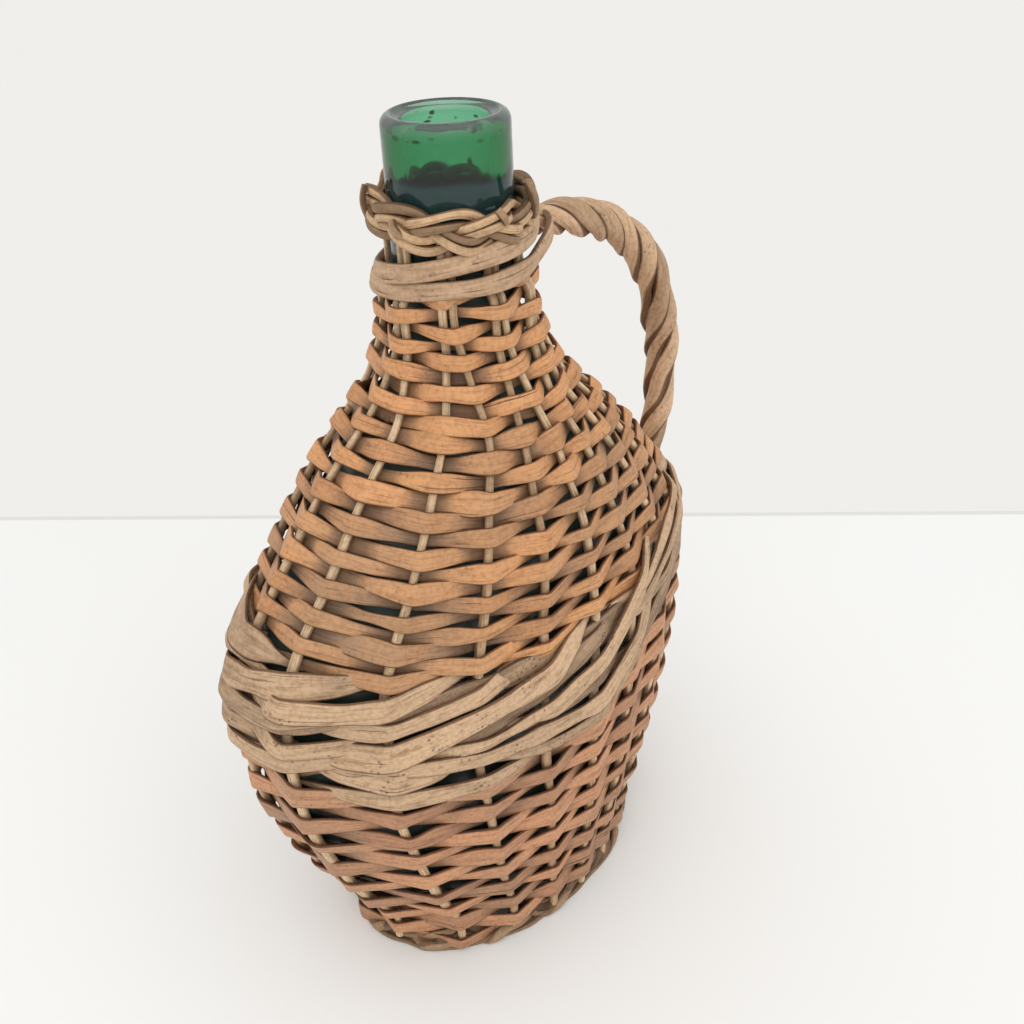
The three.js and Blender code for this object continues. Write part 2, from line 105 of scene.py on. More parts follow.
class FlaskSizes(bpy.types.PropertyGroup):
    """The glass flask: an oval that changes with height."""

    rises: lengths("Rises", "Rise up to each level", (
        0.008, 0.042, 0.062, 0.038, 0.037, 0.028, 0.024, 0.025, 0.068))
    half_lengths: lengths("Half-lengths", "Half-length of the oval at each level", (
        0.0684, 0.0895, 0.1044, 0.103, 0.0785, 0.055, 0.0316, 0.0218, 0.021))
    half_widths: lengths("Half-widths", "Half-width of the oval at each level", (
        0.0478, 0.0502, 0.0507, 0.0505, 0.0476, 0.0396, 0.0289, 0.0218, 0.021))
    wall: length("Wall", "Thickness of the glass", 0.0042)
    floor: length("Floor", "Thickness of the bottom", 0.005)
    bore: length("Bore", "Radius of the bore", 0.014)
    lip_round: length("Lip rounding", "Radius of the lip's outer edge", 0.0034)
    lip_dish: length("Lip dish", "Fall of the lip's top towards the bore", 0.0016)


class JacketSizes(bpy.types.PropertyGroup):
    """The woven jacket: stakes, weavers and belly band."""

    pairs: count("Pairs", "Pairs of stakes at the neck", 9)
    stake_radius: length("Stake radius", "Radius of a stake on the body", 0.0018)
    tip_radius: length("Tip radius", "Radius of a stake at the neck", 0.0013)
    first_stake: angle("First stake", "Place of the first stake on the body", 165)
    first_pair: angle("First pair", "Place of the first pair at the neck", 185)
    stake_shifts: angles("Stake shifts", "How far each stake stands from its even place", (
        8, 2, 6, 9.5, 10.7, 11, 10.4, 10.3, 9, 7, 4, 2, 1, 0, 0, 0, 0, 0, 3))
    glass_gap: length("Glass gap", "Gap between the glass and a weaver behind a stake", 0.00105)
    spread: length("Spread", "Height over which the pairs part", 0.052)
    thickness: length("Skein thickness", "Thickness of a weaver", 0.0016)
    neck_width: length("Neck skein width", "Width of the weavers round the neck", 0.0066)
    upper_width: length("Upper skein width", "Width of the weavers above the belly band", 0.0075)
    lower_width: length("Lower skein width", "Width of the weavers below the belly band", 0.0088)
    upper_pitch: length("Upper pitch", "Row spacing above the belly band", 0.0057)
    lower_pitch: length("Lower pitch", "Row spacing below the belly band", 0.0067)
    lower_height: length("Lower weave", "Height of the weave below the belly band", 0.105)
    neck_height: length("Neck weave", "Height of the weave round the paired stakes", 0.045)
    wale_height: length("Belly band", "Height of the pale belly band", 0.053)
    wale_thickness: length("Belly strand thickness", "Thickness of a strand of the belly band", 0.0019)
    low_lift: length("Lower lift", "Climb of the belly band's lower edge at the narrow ends", 0.029)
    top_lift: length("Upper lift", "Climb of the belly band's upper edge at the narrow ends", 0.018)
    seed: bpy.props.IntProperty(name="Seed", description="Seed of the irregular hand work", default=11)


class TrimSizes(bpy.types.PropertyGroup):
    """Neck bands, plaited border, handle and foot rope."""

    exposed_neck: length("Bare neck", "Glass that stands clear of the border", 0.0231)
    plait_height: length("Plait height", "Height of the plaited border", 0.0142)
    plait_rod: length("Plait rod", "Radius of a rod in the plait", 0.00155)
    plait_lays: count("Plait lays", "Full waves of a strand round the neck", 3)
    plait_tilt: length("Plait tilt", "Climb of the plait towards the back", 0.002)
    band_width: length("Band width", "Width of a neck band", 0.0068)
    band_space: length("Band space", "Height of the zone that the neck bands hold", 0.0195)
    handle_strands: count("Handle strands", "Strands twisted into the handle", 4)
    handle_lay: length("Handle lay", "Length of one full twist at the handle's root", 0.05)
    handle_end_lay: length("Handle end lay", "Length of one full twist at the handle's foot", 0.078)
    handle_core: length("Handle core", "Distance of the strands from the handle's middle", 0.0046)
    foot_rods: count("Foot rods", "Rods twisted into the foot rope", 5)
    foot_rod: length("Foot rod", "Radius of a rod of the foot rope", 0.0018)
    foot_lay: length("Foot lay", "Length of one full twist of the foot rope", 0.034)


class Finishes(bpy.types.PropertyGroup):
    """Colours of the willow and the glass."""

    upper_fresh: colour("Upper light", "Light tone of the upper weave", (0.74, 0.362, 0.152))
    upper_aged: colour("Upper dark", "Dark tone of the upper weave", (0.38, 0.19, 0.09))
    lower_fresh: colour("Lower light", "Light tone of the lower weave", (0.67, 0.335, 0.172))
    lower_aged: colour("Lower dark", "Dark tone of the lower weave", (0.36, 0.18, 0.095))
    pale_fresh: colour("Pale light", "Light tone of the belly band", (0.7, 0.47, 0.285))
    pale_aged: colour("Pale dark", "Dark tone of the belly band", (0.26, 0.165, 0.098))
    stake_fresh: colour("Stake light", "Light tone of the stakes", (0.88, 0.65, 0.4))
    stake_aged: colour("Stake dark", "Dark tone of the stakes", (0.56, 0.37, 0.21))
    rope_fresh: colour("Rope light", "Light tone of the handle and the neck bands", (0.735, 0.49, 0.3))
    rope_aged: colour("Rope dark", "Dark tone of the handle and the neck bands", (0.38, 0.235, 0.135))
    plait_fresh: colour("Plait light", "Light tone of the plaited border", (0.72, 0.475, 0.27))
    plait_aged: colour("Plait dark", "Dark tone of the plaited border", (0.29, 0.175, 0.095))
    # Painted shade: the darkest part of the dark lining painted on the glass round the neck, standing in for
    # the dark inside of the bottle.
    neck_shade_lining: colour("Neck_shade", "Dark film inside the glass below the mouth", (0.013, 0.044, 0.043))
    foot_fresh: colour("Foot light", "Light tone of the foot rope", (0.44, 0.285, 0.165))
    foot_aged: colour("Foot dark", "Dark tone of the foot rope", (0.13, 0.08, 0.045))
    glass_clear: colour("Glass", "What the glass lets through", (0.0, 0.625, 0.325))


class StageSetup(bpy.types.PropertyGroup):
    """Camera, floor and light."""

    eye: lengths("Eye", "Camera position, measured from the bottle's axis on the floor", (
        -0.21546, -0.2636, 0.41833))
    heading: angle("Heading", "Compass angle that the camera faces", 48.045)
    tilt: angle("Tilt", "How far the camera looks down", 33.62)
    roll: angle("Roll", "Turn of the camera about its own line of sight", -2.371)
    wall: length("Wall distance", "Distance from the bottle's axis to the far edge of the floor", 0.287)
    wall_heading: angle("Wall heading", "Compass angle that the far edge lies in", 44.4)
    dome: share("Dome", "Strength of the light from all round", 0.83)
    key: bpy.props.FloatProperty(name="Key lamp", description="Power of the soft key lamp",
                                 default=5.6, unit="POWER")
    floor_colour: colour("Floor", "Colour of the floor", (0.945, 0.945, 0.925))
    # Painted shade: a darker line along the floor's far edge stands in for the shadow where the floor meets
    # the wall.
    crease_shade_colour: colour("Floor edge", "Colour of the line where the floor meets the wall", (0.8, 0.785, 0.75))
    wall_colour: colour("Wall", "Colour of the wall behind", (0.875, 0.86, 0.83))


def sums(operation):
    """The plain and the reflected form of one operator on wires."""

    def plain(wire, other):
        return wire.sum(operation, wire, other)

    def reflected(wire, other):
        return wire.sum(operation, other, wire)

    return plain, reflected


class Wire:
    """A node's socket. Sums on it add Math nodes, and node() adds any other node."""

    def __init__(self, tree, socket=None):
        self.tree = tree
        self.socket = socket

    def node(self, kind, settings=None, sockets=None, out=0):
        """Adds a node: first its settings, then the values or links of its sockets."""
        made = self.tree.nodes.new(kind)
        for key, value in (settings or {}).items():
            setattr(made, key, value)
        for key, value in (sockets or {}).items():
            if isinstance(value, Wire):
                self.tree.links.new(value.socket, made.inputs[key])
            else:
                made.inputs[key].default_value = value
        return Wire(self.tree, made.outputs[out] if made.outputs else None)

    def also(self, key):
        """Another output of the same node."""
        return Wire(self.tree, self.socket.node.outputs[key])

    def sum(self, operation, *values):
        """A number worked out from others."""
        return self.node("ShaderNodeMath", {"operation": operation}, dict(enumerate(values)))

    __add__, __radd__ = sums("ADD")
    __sub__, __rsub__ = sums("SUBTRACT")
    __mul__, __rmul__ = sums("MULTIPLY")
    __pow__, __rpow__ = sums("POWER")

    def __abs__(self):
        return self.sum("ABSOLUTE", self)

    def step(self, low, high):
        """A smooth step from 0 at low to 1 at high."""
        return self.node("ShaderNodeMapRange", {"interpolation_type": "SMOOTHSTEP"},
                         {"Value": self, "From Min": low, "From Max": high})

    def noise(self, scale, detail):
        """Cloudy noise at this place."""
        return self.node("ShaderNodeTexNoise", sockets={"Vector": self, "Scale": scale, "Detail": detail})

    def mix(self, first, second, factor, blend="MIX"):
        """A colour between two colours."""
        tints = {6: first, 7: second}
        plain = {key: value if isinstance(value, Wire) else (*value, 1.0) for key, value in tints.items()}
        return self.node("ShaderNodeMix", {"data_type": "RGBA", "blend_type": blend},
                         {0: factor, **plain}, out=2)

    def vector(self, operation, *values):
        """A vector worked out from others."""
        return self.node("ShaderNodeVectorMath", {"operation": operation}, dict(enumerate(values)))

    def scaled(self, size):
        """This vector, longer or shorter."""
        return self.node("ShaderNodeVectorMath", {"operation": "SCALE"}, {0: self, "Scale": size})


def outline(heights, values):
    """A smooth curve through values at given heights, with no overshoot between them."""
    heights, values = np.array(heights, float), np.array(values, float)
    rate = np.diff(values) / np.diff(heights)
    below, above = np.append(rate[0], rate), np.append(rate, rate[-1])
    both = np.where(below * above > 0, below + above, 1.0)
    slope = np.where(below * above > 0, 2 * below * above / both, 0.0)

    def at(height):
        z = np.clip(height, heights[0], heights[-1])
        i = np.clip(np.searchsorted(heights, z) - 1, 0, len(rate) - 1)
        span = heights[i + 1] - heights[i]
        s = (z - heights[i]) / span
        bend = s * (1 - s) * span * ((1 - s) * slope[i] - s * slope[i + 1])
        return values[i] + (values[i + 1] - values[i]) * s * s * (3 - 2 * s) + bend

    return at


def smoothstep(value, low, high):
    """A smooth step from 0 at low to 1 at high."""
    s = np.clip((value - low) / (high - low), 0.0, 1.0)
    return s * s * (3 - 2 * s)


def unit(vectors):
    """The same directions, one long."""
    return vectors / np.linalg.norm(vectors, axis=-1, keepdims=True)


class Flask:
    """Outer form of the glass."""

    slope_step = 0.0005
    # Places of the belly and of the neck's foot in the list of levels.
    belly_level = 2
    neck_level = 7

    def __init__(self, sizes):
        self.levels = GLASS_LOW.z + np.cumsum(sizes.rises)
        self.length = outline(self.levels, sizes.half_lengths)
        self.width = outline(self.levels, sizes.half_widths)

    def at(self, turn, height, offset):
        """Points at an angle and height, moved out along the side's normal, and those normals."""
        turn, height, offset = np.broadcast_arrays(turn, height, offset)
        c, s = np.cos(turn), np.sin(turn)
        a, b = self.length(height), self.width(height)
        rise = 2 * self.slope_step
        a_slope = (self.length(height + self.slope_step) - self.length(height - self.slope_step)) / rise
        b_slope = (self.width(height + self.slope_step) - self.width(height - self.slope_step)) / rise
        normal = unit(np.stack([c / a, s / b, -(a_slope * c * c / a + b_slope * s * s / b)], -1))
        point = np.stack([AXIS_X + a * c, b * s, height], -1) + normal * offset[..., None]
        return point, normal


class Jacket:
    """Heights, layers and stake places of the woven jacket."""

    lift_fade = 1.8
    samples = 1440
    # From a stake's face to the middle of a weaver that passes it, in thicknesses of the weaver.
    passing = 0.75
    # From a stake's middle to what it touches at the neck, in radii of its tip.
    closeness = 1.1

    def __init__(self, scene):
        sizes, trim = scene.demijohn_jacket, scene.demijohn_trim
        self.sizes = sizes
        self.flask = Flask(scene.demijohn_flask)
        self.foot = STAKE_FOOT
        self.wale_foot = self.foot + sizes.lower_height
        self.wale_top = self.wale_foot + sizes.wale_height
        self.plait_top = LIP_TOP - trim.exposed_neck
        self.plait_foot = self.plait_top - trim.plait_height
        self.weave_top = self.plait_foot - trim.band_space
        self.split = self.weave_top - sizes.neck_height
        self.stakes = 2 * sizes.pairs + 1
        self.body_angles = self.even_angles()
        self.neck_angles = self.paired_angles()
        self.reach = sizes.glass_gap + 2 * self.passing * sizes.thickness + sizes.stake_radius
        self.swing = sizes.stake_radius + self.passing * sizes.thickness

    def even_angles(self):
        """Angles of stakes at nearly even spacing round the belly."""
        sizes, flask = self.sizes, self.flask
        belly = flask.levels[flask.belly_level]
        turns = sizes.first_stake + (np.arange(self.samples) + 0.5) / self.samples * FULL_TURN
        speed = np.hypot(flask.length(belly) * np.sin(turns), flask.width(belly) * np.cos(turns))
        walked = np.append(0.0, np.cumsum(speed))
        wanted = np.arange(self.stakes) / self.stakes * walked[-1]
        even = sizes.first_stake + np.interp(wanted, walked, np.linspace(0, FULL_TURN, self.samples + 1))
        return even + np.array(sizes.stake_shifts)

    def paired_angles(self):
        """Angles of the same stakes where they stand in pairs round the neck."""
        sizes = self.sizes
        step = FULL_TURN / (sizes.pairs + 0.5)
        radius = self.flask.length(self.weave_top) + sizes.tip_radius
        half = self.closeness * sizes.tip_radius / radius
        k = np.arange(self.stakes)
        turns = sizes.first_pair + (k // 2) * step + np.where(k % 2, half, -half)
        turns[-1] = sizes.first_pair + sizes.pairs * step - step / 4
        return turns

    def stake_angle(self, k, height):
        """Angle of a stake, drawn to its partner towards the neck."""
        together = smoothstep(height, self.weave_top - self.sizes.spread, self.weave_top)
        return self.body_angles[k] + (self.neck_angles[k] - self.body_angles[k]) * together

    def stake_size(self, height):
        """Radius of a stake, thinner above the belly band."""
        sizes = self.sizes
        return sizes.stake_radius + (sizes.tip_radius - sizes.stake_radius) * smoothstep(
            height, self.wale_top, self.split)

    def stake_offset(self, height):
        """Distance from the glass to the stakes' middles, closing up above the weave."""
        closing = smoothstep(height, self.weave_top, self.weave_top + self.sizes.upper_pitch)
        return self.reach + (self.closeness * self.sizes.tip_radius - self.reach) * closing

    def lift(self, height):
        """Climb of a row at the narrow ends."""
        sizes = self.sizes
        low = sizes.low_lift * (height - self.foot) / sizes.lower_height
        middle = sizes.low_lift + (sizes.top_lift - sizes.low_lift) * (
            height - self.wale_foot) / sizes.wale_height
        left = np.clip((self.weave_top - height) / (self.weave_top - self.wale_top), 0.0, None)
        high = sizes.top_lift * left ** self.lift_fade
        return np.where(height < self.wale_foot, low, np.where(height < self.wale_top, middle, high))

    def row_height(self, height, turn):
        """Height of a row at an angle."""
        return height + self.lift(height) * np.cos(turn) ** 2


STRAND_VALUES = ("half_width", "half_thick", "along", "strand", "front")
STRAND_VECTORS = ("across", "out")


class Bundle:
    """Strands gathered for one piece, each a line of stations with a frame and a section."""

    def __init__(self, seed):
        self.random = np.random.default_rng(seed)
        self.points = []
        self.edges = []
        self.columns = {key: [] for key in STRAND_VALUES + STRAND_VECTORS}
        self.total = 0

    def add(self, points, out, half_width, half_thick, front=1.0, tone=None):
        """Adds a strand along points, with its flat side facing out."""
        along = unit(np.gradient(points, axis=0))
        across = unit(np.cross(along, out))
        n = len(points)
        walked = np.append(0.0, np.cumsum(np.linalg.norm(np.diff(points, axis=0), axis=1)))
        values = {
            "half_width": half_width, "half_thick": half_thick, "front": front,
            "along": walked, "strand": self.random.random() if tone is None else tone,
        }
        for key, value in values.items():
            self.columns[key].append(np.broadcast_to(value, n))
        self.columns["across"].append(across)
        self.columns["out"].append(np.cross(across, along))
        self.points.append(points)
        first = np.arange(self.total, self.total + n - 1)
        self.edges.append(np.stack([first, first + 1], -1))
        self.total += n

    def rough(self, n, size, spread):
        """Slow random wander along a strand of n stations, with a knot about every spread stations."""
        knots = max(int(n / spread) + 2, 3)
        values = self.random.normal(0.0, size, knots)
        places = np.linspace(0, knots - 1, n)
        return outline(np.arange(knots), values)(places)

    def piece(self, name, material, section, squareness):
        """Sweeps the strands and gives back one plain mesh object."""
        mesh = bpy.data.meshes.new(name)
        mesh.from_pydata(np.concatenate(self.points).tolist(), np.concatenate(self.edges).tolist(), [])
        for key in STRAND_VALUES:
            column = np.concatenate(self.columns[key]).astype(np.float32)
            mesh.attributes.new(key, "FLOAT", "POINT").data.foreach_set("value", column)
        for key in STRAND_VECTORS:
            column = np.concatenate(self.columns[key]).astype(np.float32)
            mesh.attributes.new(key, "FLOAT_VECTOR", "POINT").data.foreach_set("vector", column.ravel())
        piece = bpy.data.objects.new(name, mesh)
        bpy.context.scene.collection.objects.link(piece)
        sweep = piece.modifiers.new("Sweep", "NODES")
        tree = bpy.data.node_groups.get("Strand sweep") or strand_sweep()
        sweep.node_group = tree
        inputs = {"Section points": section, "Squareness": squareness, "Material": material}
        for item in tree.interface.items_tree:
            if item.in_out == "INPUT" and item.name in inputs:
                sweep[item.identifier] = inputs[item.name]
        return settle(piece)


def settle(piece):
    """Turns a piece's evaluated result into its own plain mesh."""
    graph = bpy.context.evaluated_depsgraph_get()
    mesh = bpy.data.meshes.new_from_object(piece.evaluated_get(graph))
    piece.modifiers.clear()
    piece.data = mesh
    for key in ("half_width", "half_thick", "across", "out", "centre"):
        if key in mesh.attributes:
            mesh.attributes.remove(mesh.attributes[key])
    if not mesh.polygons:
        raise RuntimeError(f"{piece.name} came out empty")
    return piece


def strand_sweep():
    """Node tree that sweeps an oval or squarish section along each strand."""
    tree = bpy.data.node_groups.new("Strand sweep", "GeometryNodeTree")
    for name, way, kind in (
            ("Strands", "INPUT", "Geometry"), ("Section points", "INPUT", "Int"),
            ("Squareness", "INPUT", "Float"), ("Material", "INPUT", "Material"),
            ("Piece", "OUTPUT", "Geometry")):
        tree.interface.new_socket(name, in_out=way, socket_type=f"NodeSocket{kind}")
    entry = Wire(tree).node("NodeGroupInput")

    def keep(geometry, name, kind, value):
        return entry.node("GeometryNodeStoreNamedAttribute", {"data_type": kind, "domain": "POINT"},
                          {"Geometry": geometry, "Name": name, "Value": value})

    def read(name, kind="FLOAT"):
        return entry.node("GeometryNodeInputNamedAttribute", {"data_type": kind}, {"Name": name})

    def direction(name):
        return read(name, "FLOAT_VECTOR")

    def shaped(value):
        size = abs(value) ** entry.also("Squareness")
        return size * value.sum("SIGN", value)

    place = entry.node("GeometryNodeInputPosition")
    rail = entry.node("GeometryNodeMeshToCurve", sockets={"Mesh": entry})
    rail = keep(rail, "centre", "FLOAT_VECTOR", place)
    ring = entry.node("GeometryNodeCurvePrimitiveCircle", {"mode": "RADIUS"},
                      {"Resolution": entry.also("Section points"), "Radius": 1.0})
    ring = keep(ring, "ring", "FLOAT_VECTOR", place)
    swept = entry.node("GeometryNodeCurveToMesh", sockets={
        "Curve": rail, "Profile Curve": ring, "Fill Caps": True})
    corner = entry.node("ShaderNodeSeparateXYZ", sockets={0: direction("ring")})
    sideways = read("half_width") * shaped(corner)
    outwards = read("half_thick") * shaped(corner.also(1))
    spot = entry.vector("ADD", direction("centre"), direction("across").scaled(sideways))
    spot = entry.vector("ADD", spot, direction("out").scaled(outwards))
    swept = entry.node("GeometryNodeSetPosition", sockets={"Geometry": swept, "Position": spot})
    swept = entry.node("GeometryNodeSetShadeSmooth", sockets={"Geometry": swept})
    swept = entry.node("GeometryNodeRealizeInstances", sockets={"Geometry": swept})
    swept = entry.node("GeometryNodeSetMaterial", sockets={
        "Geometry": swept, "Material": entry.also("Material")})
    entry.node("NodeGroupOutput", sockets={"Piece": swept})
    return tree


def blank(name):
    """A material with an empty node tree, and a wire to build it with."""
    material = bpy.data.materials.new(name)
    material.use_nodes = True
    material.node_tree.nodes.clear()
    return material, Wire(material.node_tree)


# What ages a willow strand, and the painted shade on it, as linear colours. The grime colour is partly grime
# and partly painted shade behind a stake; the seam and shade colours are painted shade.
WEATHER = (0.37, 0.25, 0.155)
GRIT = (0.72, 0.66, 0.6)
TUCK_GRIME_AND_SHADE = (0.29, 0.195, 0.125)
FIBRE = (0.42, 0.33, 0.27)
STAIN = (0.5, 0.41, 0.34)
SEAM_SHADE = (0.25, 0.18, 0.13)
SHADE = (0.55, 0.5, 0.46)
CRACK = (0.06, 0.036, 0.02)
# What dims and lightens the glass, as linear colours: a dark lining of painted shade and its cloud, the lip's
# haze, partly worn glass and partly painted highlight, and the dirt in the mouth.
BODY_SHADE_LINING = (0.05, 0.074, 0.062)
SHADE_LINING_CLOUD = (0.034, 0.064, 0.06)
LIP_HAZE_AND_SHEEN = (0.34, 0.44, 0.39)
MOUTH_DIRT = (0.05, 0.025, 0.012)
# Each kind of willow: its pair of tones among the finishes, then whatever differs from plain willow.
WILLOWS = {
    "Stake willow": dict(tones="stake", grime_and_shade=0.4, seam_shade=0.4, streak=0.85, weft=2.6),
    "Upper weave": dict(tones="upper", roughness=0.42, grime_and_shade=0.62, specks=0.35, seam_shade=0.95, streak=0.46,
                        crest=0.5, edge=0.74, cracks=0.02, weather=0.45),
    "Lower weave": dict(tones="lower", roughness=0.45, grime_and_shade=0.6, specks=0.35, seam_shade=0.95, streak=0.48,
                        crest=0.45, edge=0.74, cracks=0.02, weather=0.4),
    # The upper weave's tones made brighter: a stronger painted crest highlight, less painted tuck shade and
    # grime, and less weathering.
    "Neck weave": dict(tones="upper", roughness=0.42, specks=0.35, seam_shade=0.95, streak=0.46,
                       crest=0.9, edge=0.74, cracks=0.02, weather=0.2),
    "Pale willow": dict(tones="pale", roughness=0.56, grime_and_shade=0.8, specks=0.75, seam_shade=0.95, streak=0.5,
                        edge=0.7, cracks=0.02),
    "Band willow": dict(tones="rope", roughness=0.54, specks=0.5, seam_shade=0.9, streak=0.5, cracks=0.03),
    "Plait willow": dict(tones="plait", specks=0.4, seam_shade=0.85, streak=0.6, edge=0.7),
    "Rope willow": dict(tones="rope", roughness=0.54, specks=0.5, seam_shade=1.0, edge=0.72),
    "Foot rope": dict(tones="foot", roughness=0.7, grime_and_shade=0.6, specks=0.8),
}


def willow(name):
    """The material of one kind of willow, made the first time that it is asked for."""
    return bpy.data.materials.get(name) or new_willow(name, **WILLOWS[name])


def new_willow(name, tones, roughness=0.5, grime_and_shade=0.5, specks=0.3, seam_shade=0.6, streak=0.4, crest=0.0, weft=6.0,
               edge=0.8, cracks=0.0, weather=0.15):
    """Split or round willow: fibres, blotches, cracks and dark flecks that follow each strand, with painted
    shade behind a stake, along the seams and on the inner face, and a painted highlight on the crest.

    Grime and shade, specks, seam shade, streak, crest highlight and weather are shares of their effects; the
    grime share sets both the grime and painted shade behind a stake and the stains. Weft sets how closely the
    fibres lie, edge how far out the painted seam shade begins and cracks how far the cracks spread.
    """
    finish = bpy.context.scene.demijohn_finish
    fresh, aged = getattr(finish, f"{tones}_fresh"), getattr(finish, f"{tones}_aged")
    material, ink = blank(name)

    def value(key):
        return ink.node("ShaderNodeAttribute", {"attribute_name": key}, out="Fac")

    along, strand, front = value("along"), value("strand"), value("front")
    ring = ink.node("ShaderNodeAttribute", {"attribute_name": "ring"}, out="Vector")
    across = ink.node("ShaderNodeSeparateXYZ", sockets={0: ring})
    side = across.also(1)
    # Each strand, and each side of it, reads its own part of the noise.
    apart = strand * 83.0 + side * 0.35

    def grain(stretch, breadth, shift, detail):
        spot = ink.node("ShaderNodeCombineXYZ", sockets={
            0: along * stretch, 1: across * breadth, 2: apart + shift})
        return ink.node("ShaderNodeTexNoise", sockets={
            "Vector": spot, "Scale": 1.0, "Detail": detail, "Roughness": 0.65})

    fibre = grain(stretch=50.0, breadth=weft, shift=0.0, detail=4.0)
    cloud = grain(stretch=90.0, breadth=1.6, shift=11.0, detail=4.0)
    patch = grain(stretch=24.0, breadth=0.5, shift=23.0, detail=2.0)
    stain = grain(stretch=110.0, breadth=2.6, shift=51.0, detail=5.0).step(0.52, 0.7)
    split = grain(stretch=16.0, breadth=4.4, shift=37.0, detail=2.0).step(0.68 - cracks, 0.71 - cracks)
    place = ink.node("ShaderNodeTexCoord", out="Object")
    fleck = ink.node("ShaderNodeTexVoronoi", {"feature": "F1"}, {"Vector": place, "Scale": 520.0})
    fleck = (1.0 - fleck.step(0.1, 0.42)) * place.noise(80.0, 3.0).step(0.52, 0.66) * specks
    # Where a weaver passes behind a stake, and its face towards the glass: both get painted shade below.
    hidden = 1.0 - front.step(0.0, 0.5)
    under = 1.0 - side.step(-0.6, 0.1)
    tone = cloud * 0.9 + patch * 0.9 + strand * 1.15 - 0.97
    tint = ink.mix(aged, fresh, tone.step(0.0, 1.0))
    for dye, amount, blend in (
            # Painted highlight: the fresh tone laid over the crest where a weaver passes in front of a stake.
            (fresh, front.step(0.45, 1.0) * crest, "MIX"),
            (WEATHER, place.noise(16.0, 3.0).step(0.42, 0.66) * weather, "MIX"),
            (GRIT, place.noise(620.0, 2.0).step(0.56, 0.36) * 0.5, "MULTIPLY"),
            # Partly grime and partly painted shade where the weaver passes behind a stake.
            (TUCK_GRIME_AND_SHADE, hidden * grime_and_shade, "MIX"),
            (FIBRE, fibre.step(0.55, 0.28) * streak, "MULTIPLY"),
            (STAIN, stain * grime_and_shade, "MULTIPLY"),
            # Painted shade along the strand's edges, where it meets its neighbours.
            (SEAM_SHADE, abs(across).step(edge, edge + 0.2) * seam_shade, "MULTIPLY"),
            (SHADE, hidden * 0.55 + under * 0.4, "MULTIPLY"),
            (CRACK, split * 0.7 + fleck, "MIX")):
        tint = ink.mix(tint, dye, amount, blend)
    relief = fibre * 0.5 - split * 1.6 + cloud * 0.5
    bump = ink.node("ShaderNodeBump", sockets={"Strength": 0.6, "Distance": 0.0005, "Height": relief})
    skin = ink.node("ShaderNodeBsdfPrincipled", sockets={
        "Base Color": tint, "Roughness": roughness + (1.0 - fibre) * 0.16 + split * 0.2,
        "Normal": bump, "Specular IOR Level": 0.4})
    ink.node("ShaderNodeOutputMaterial", sockets={"Surface": skin})
    return material


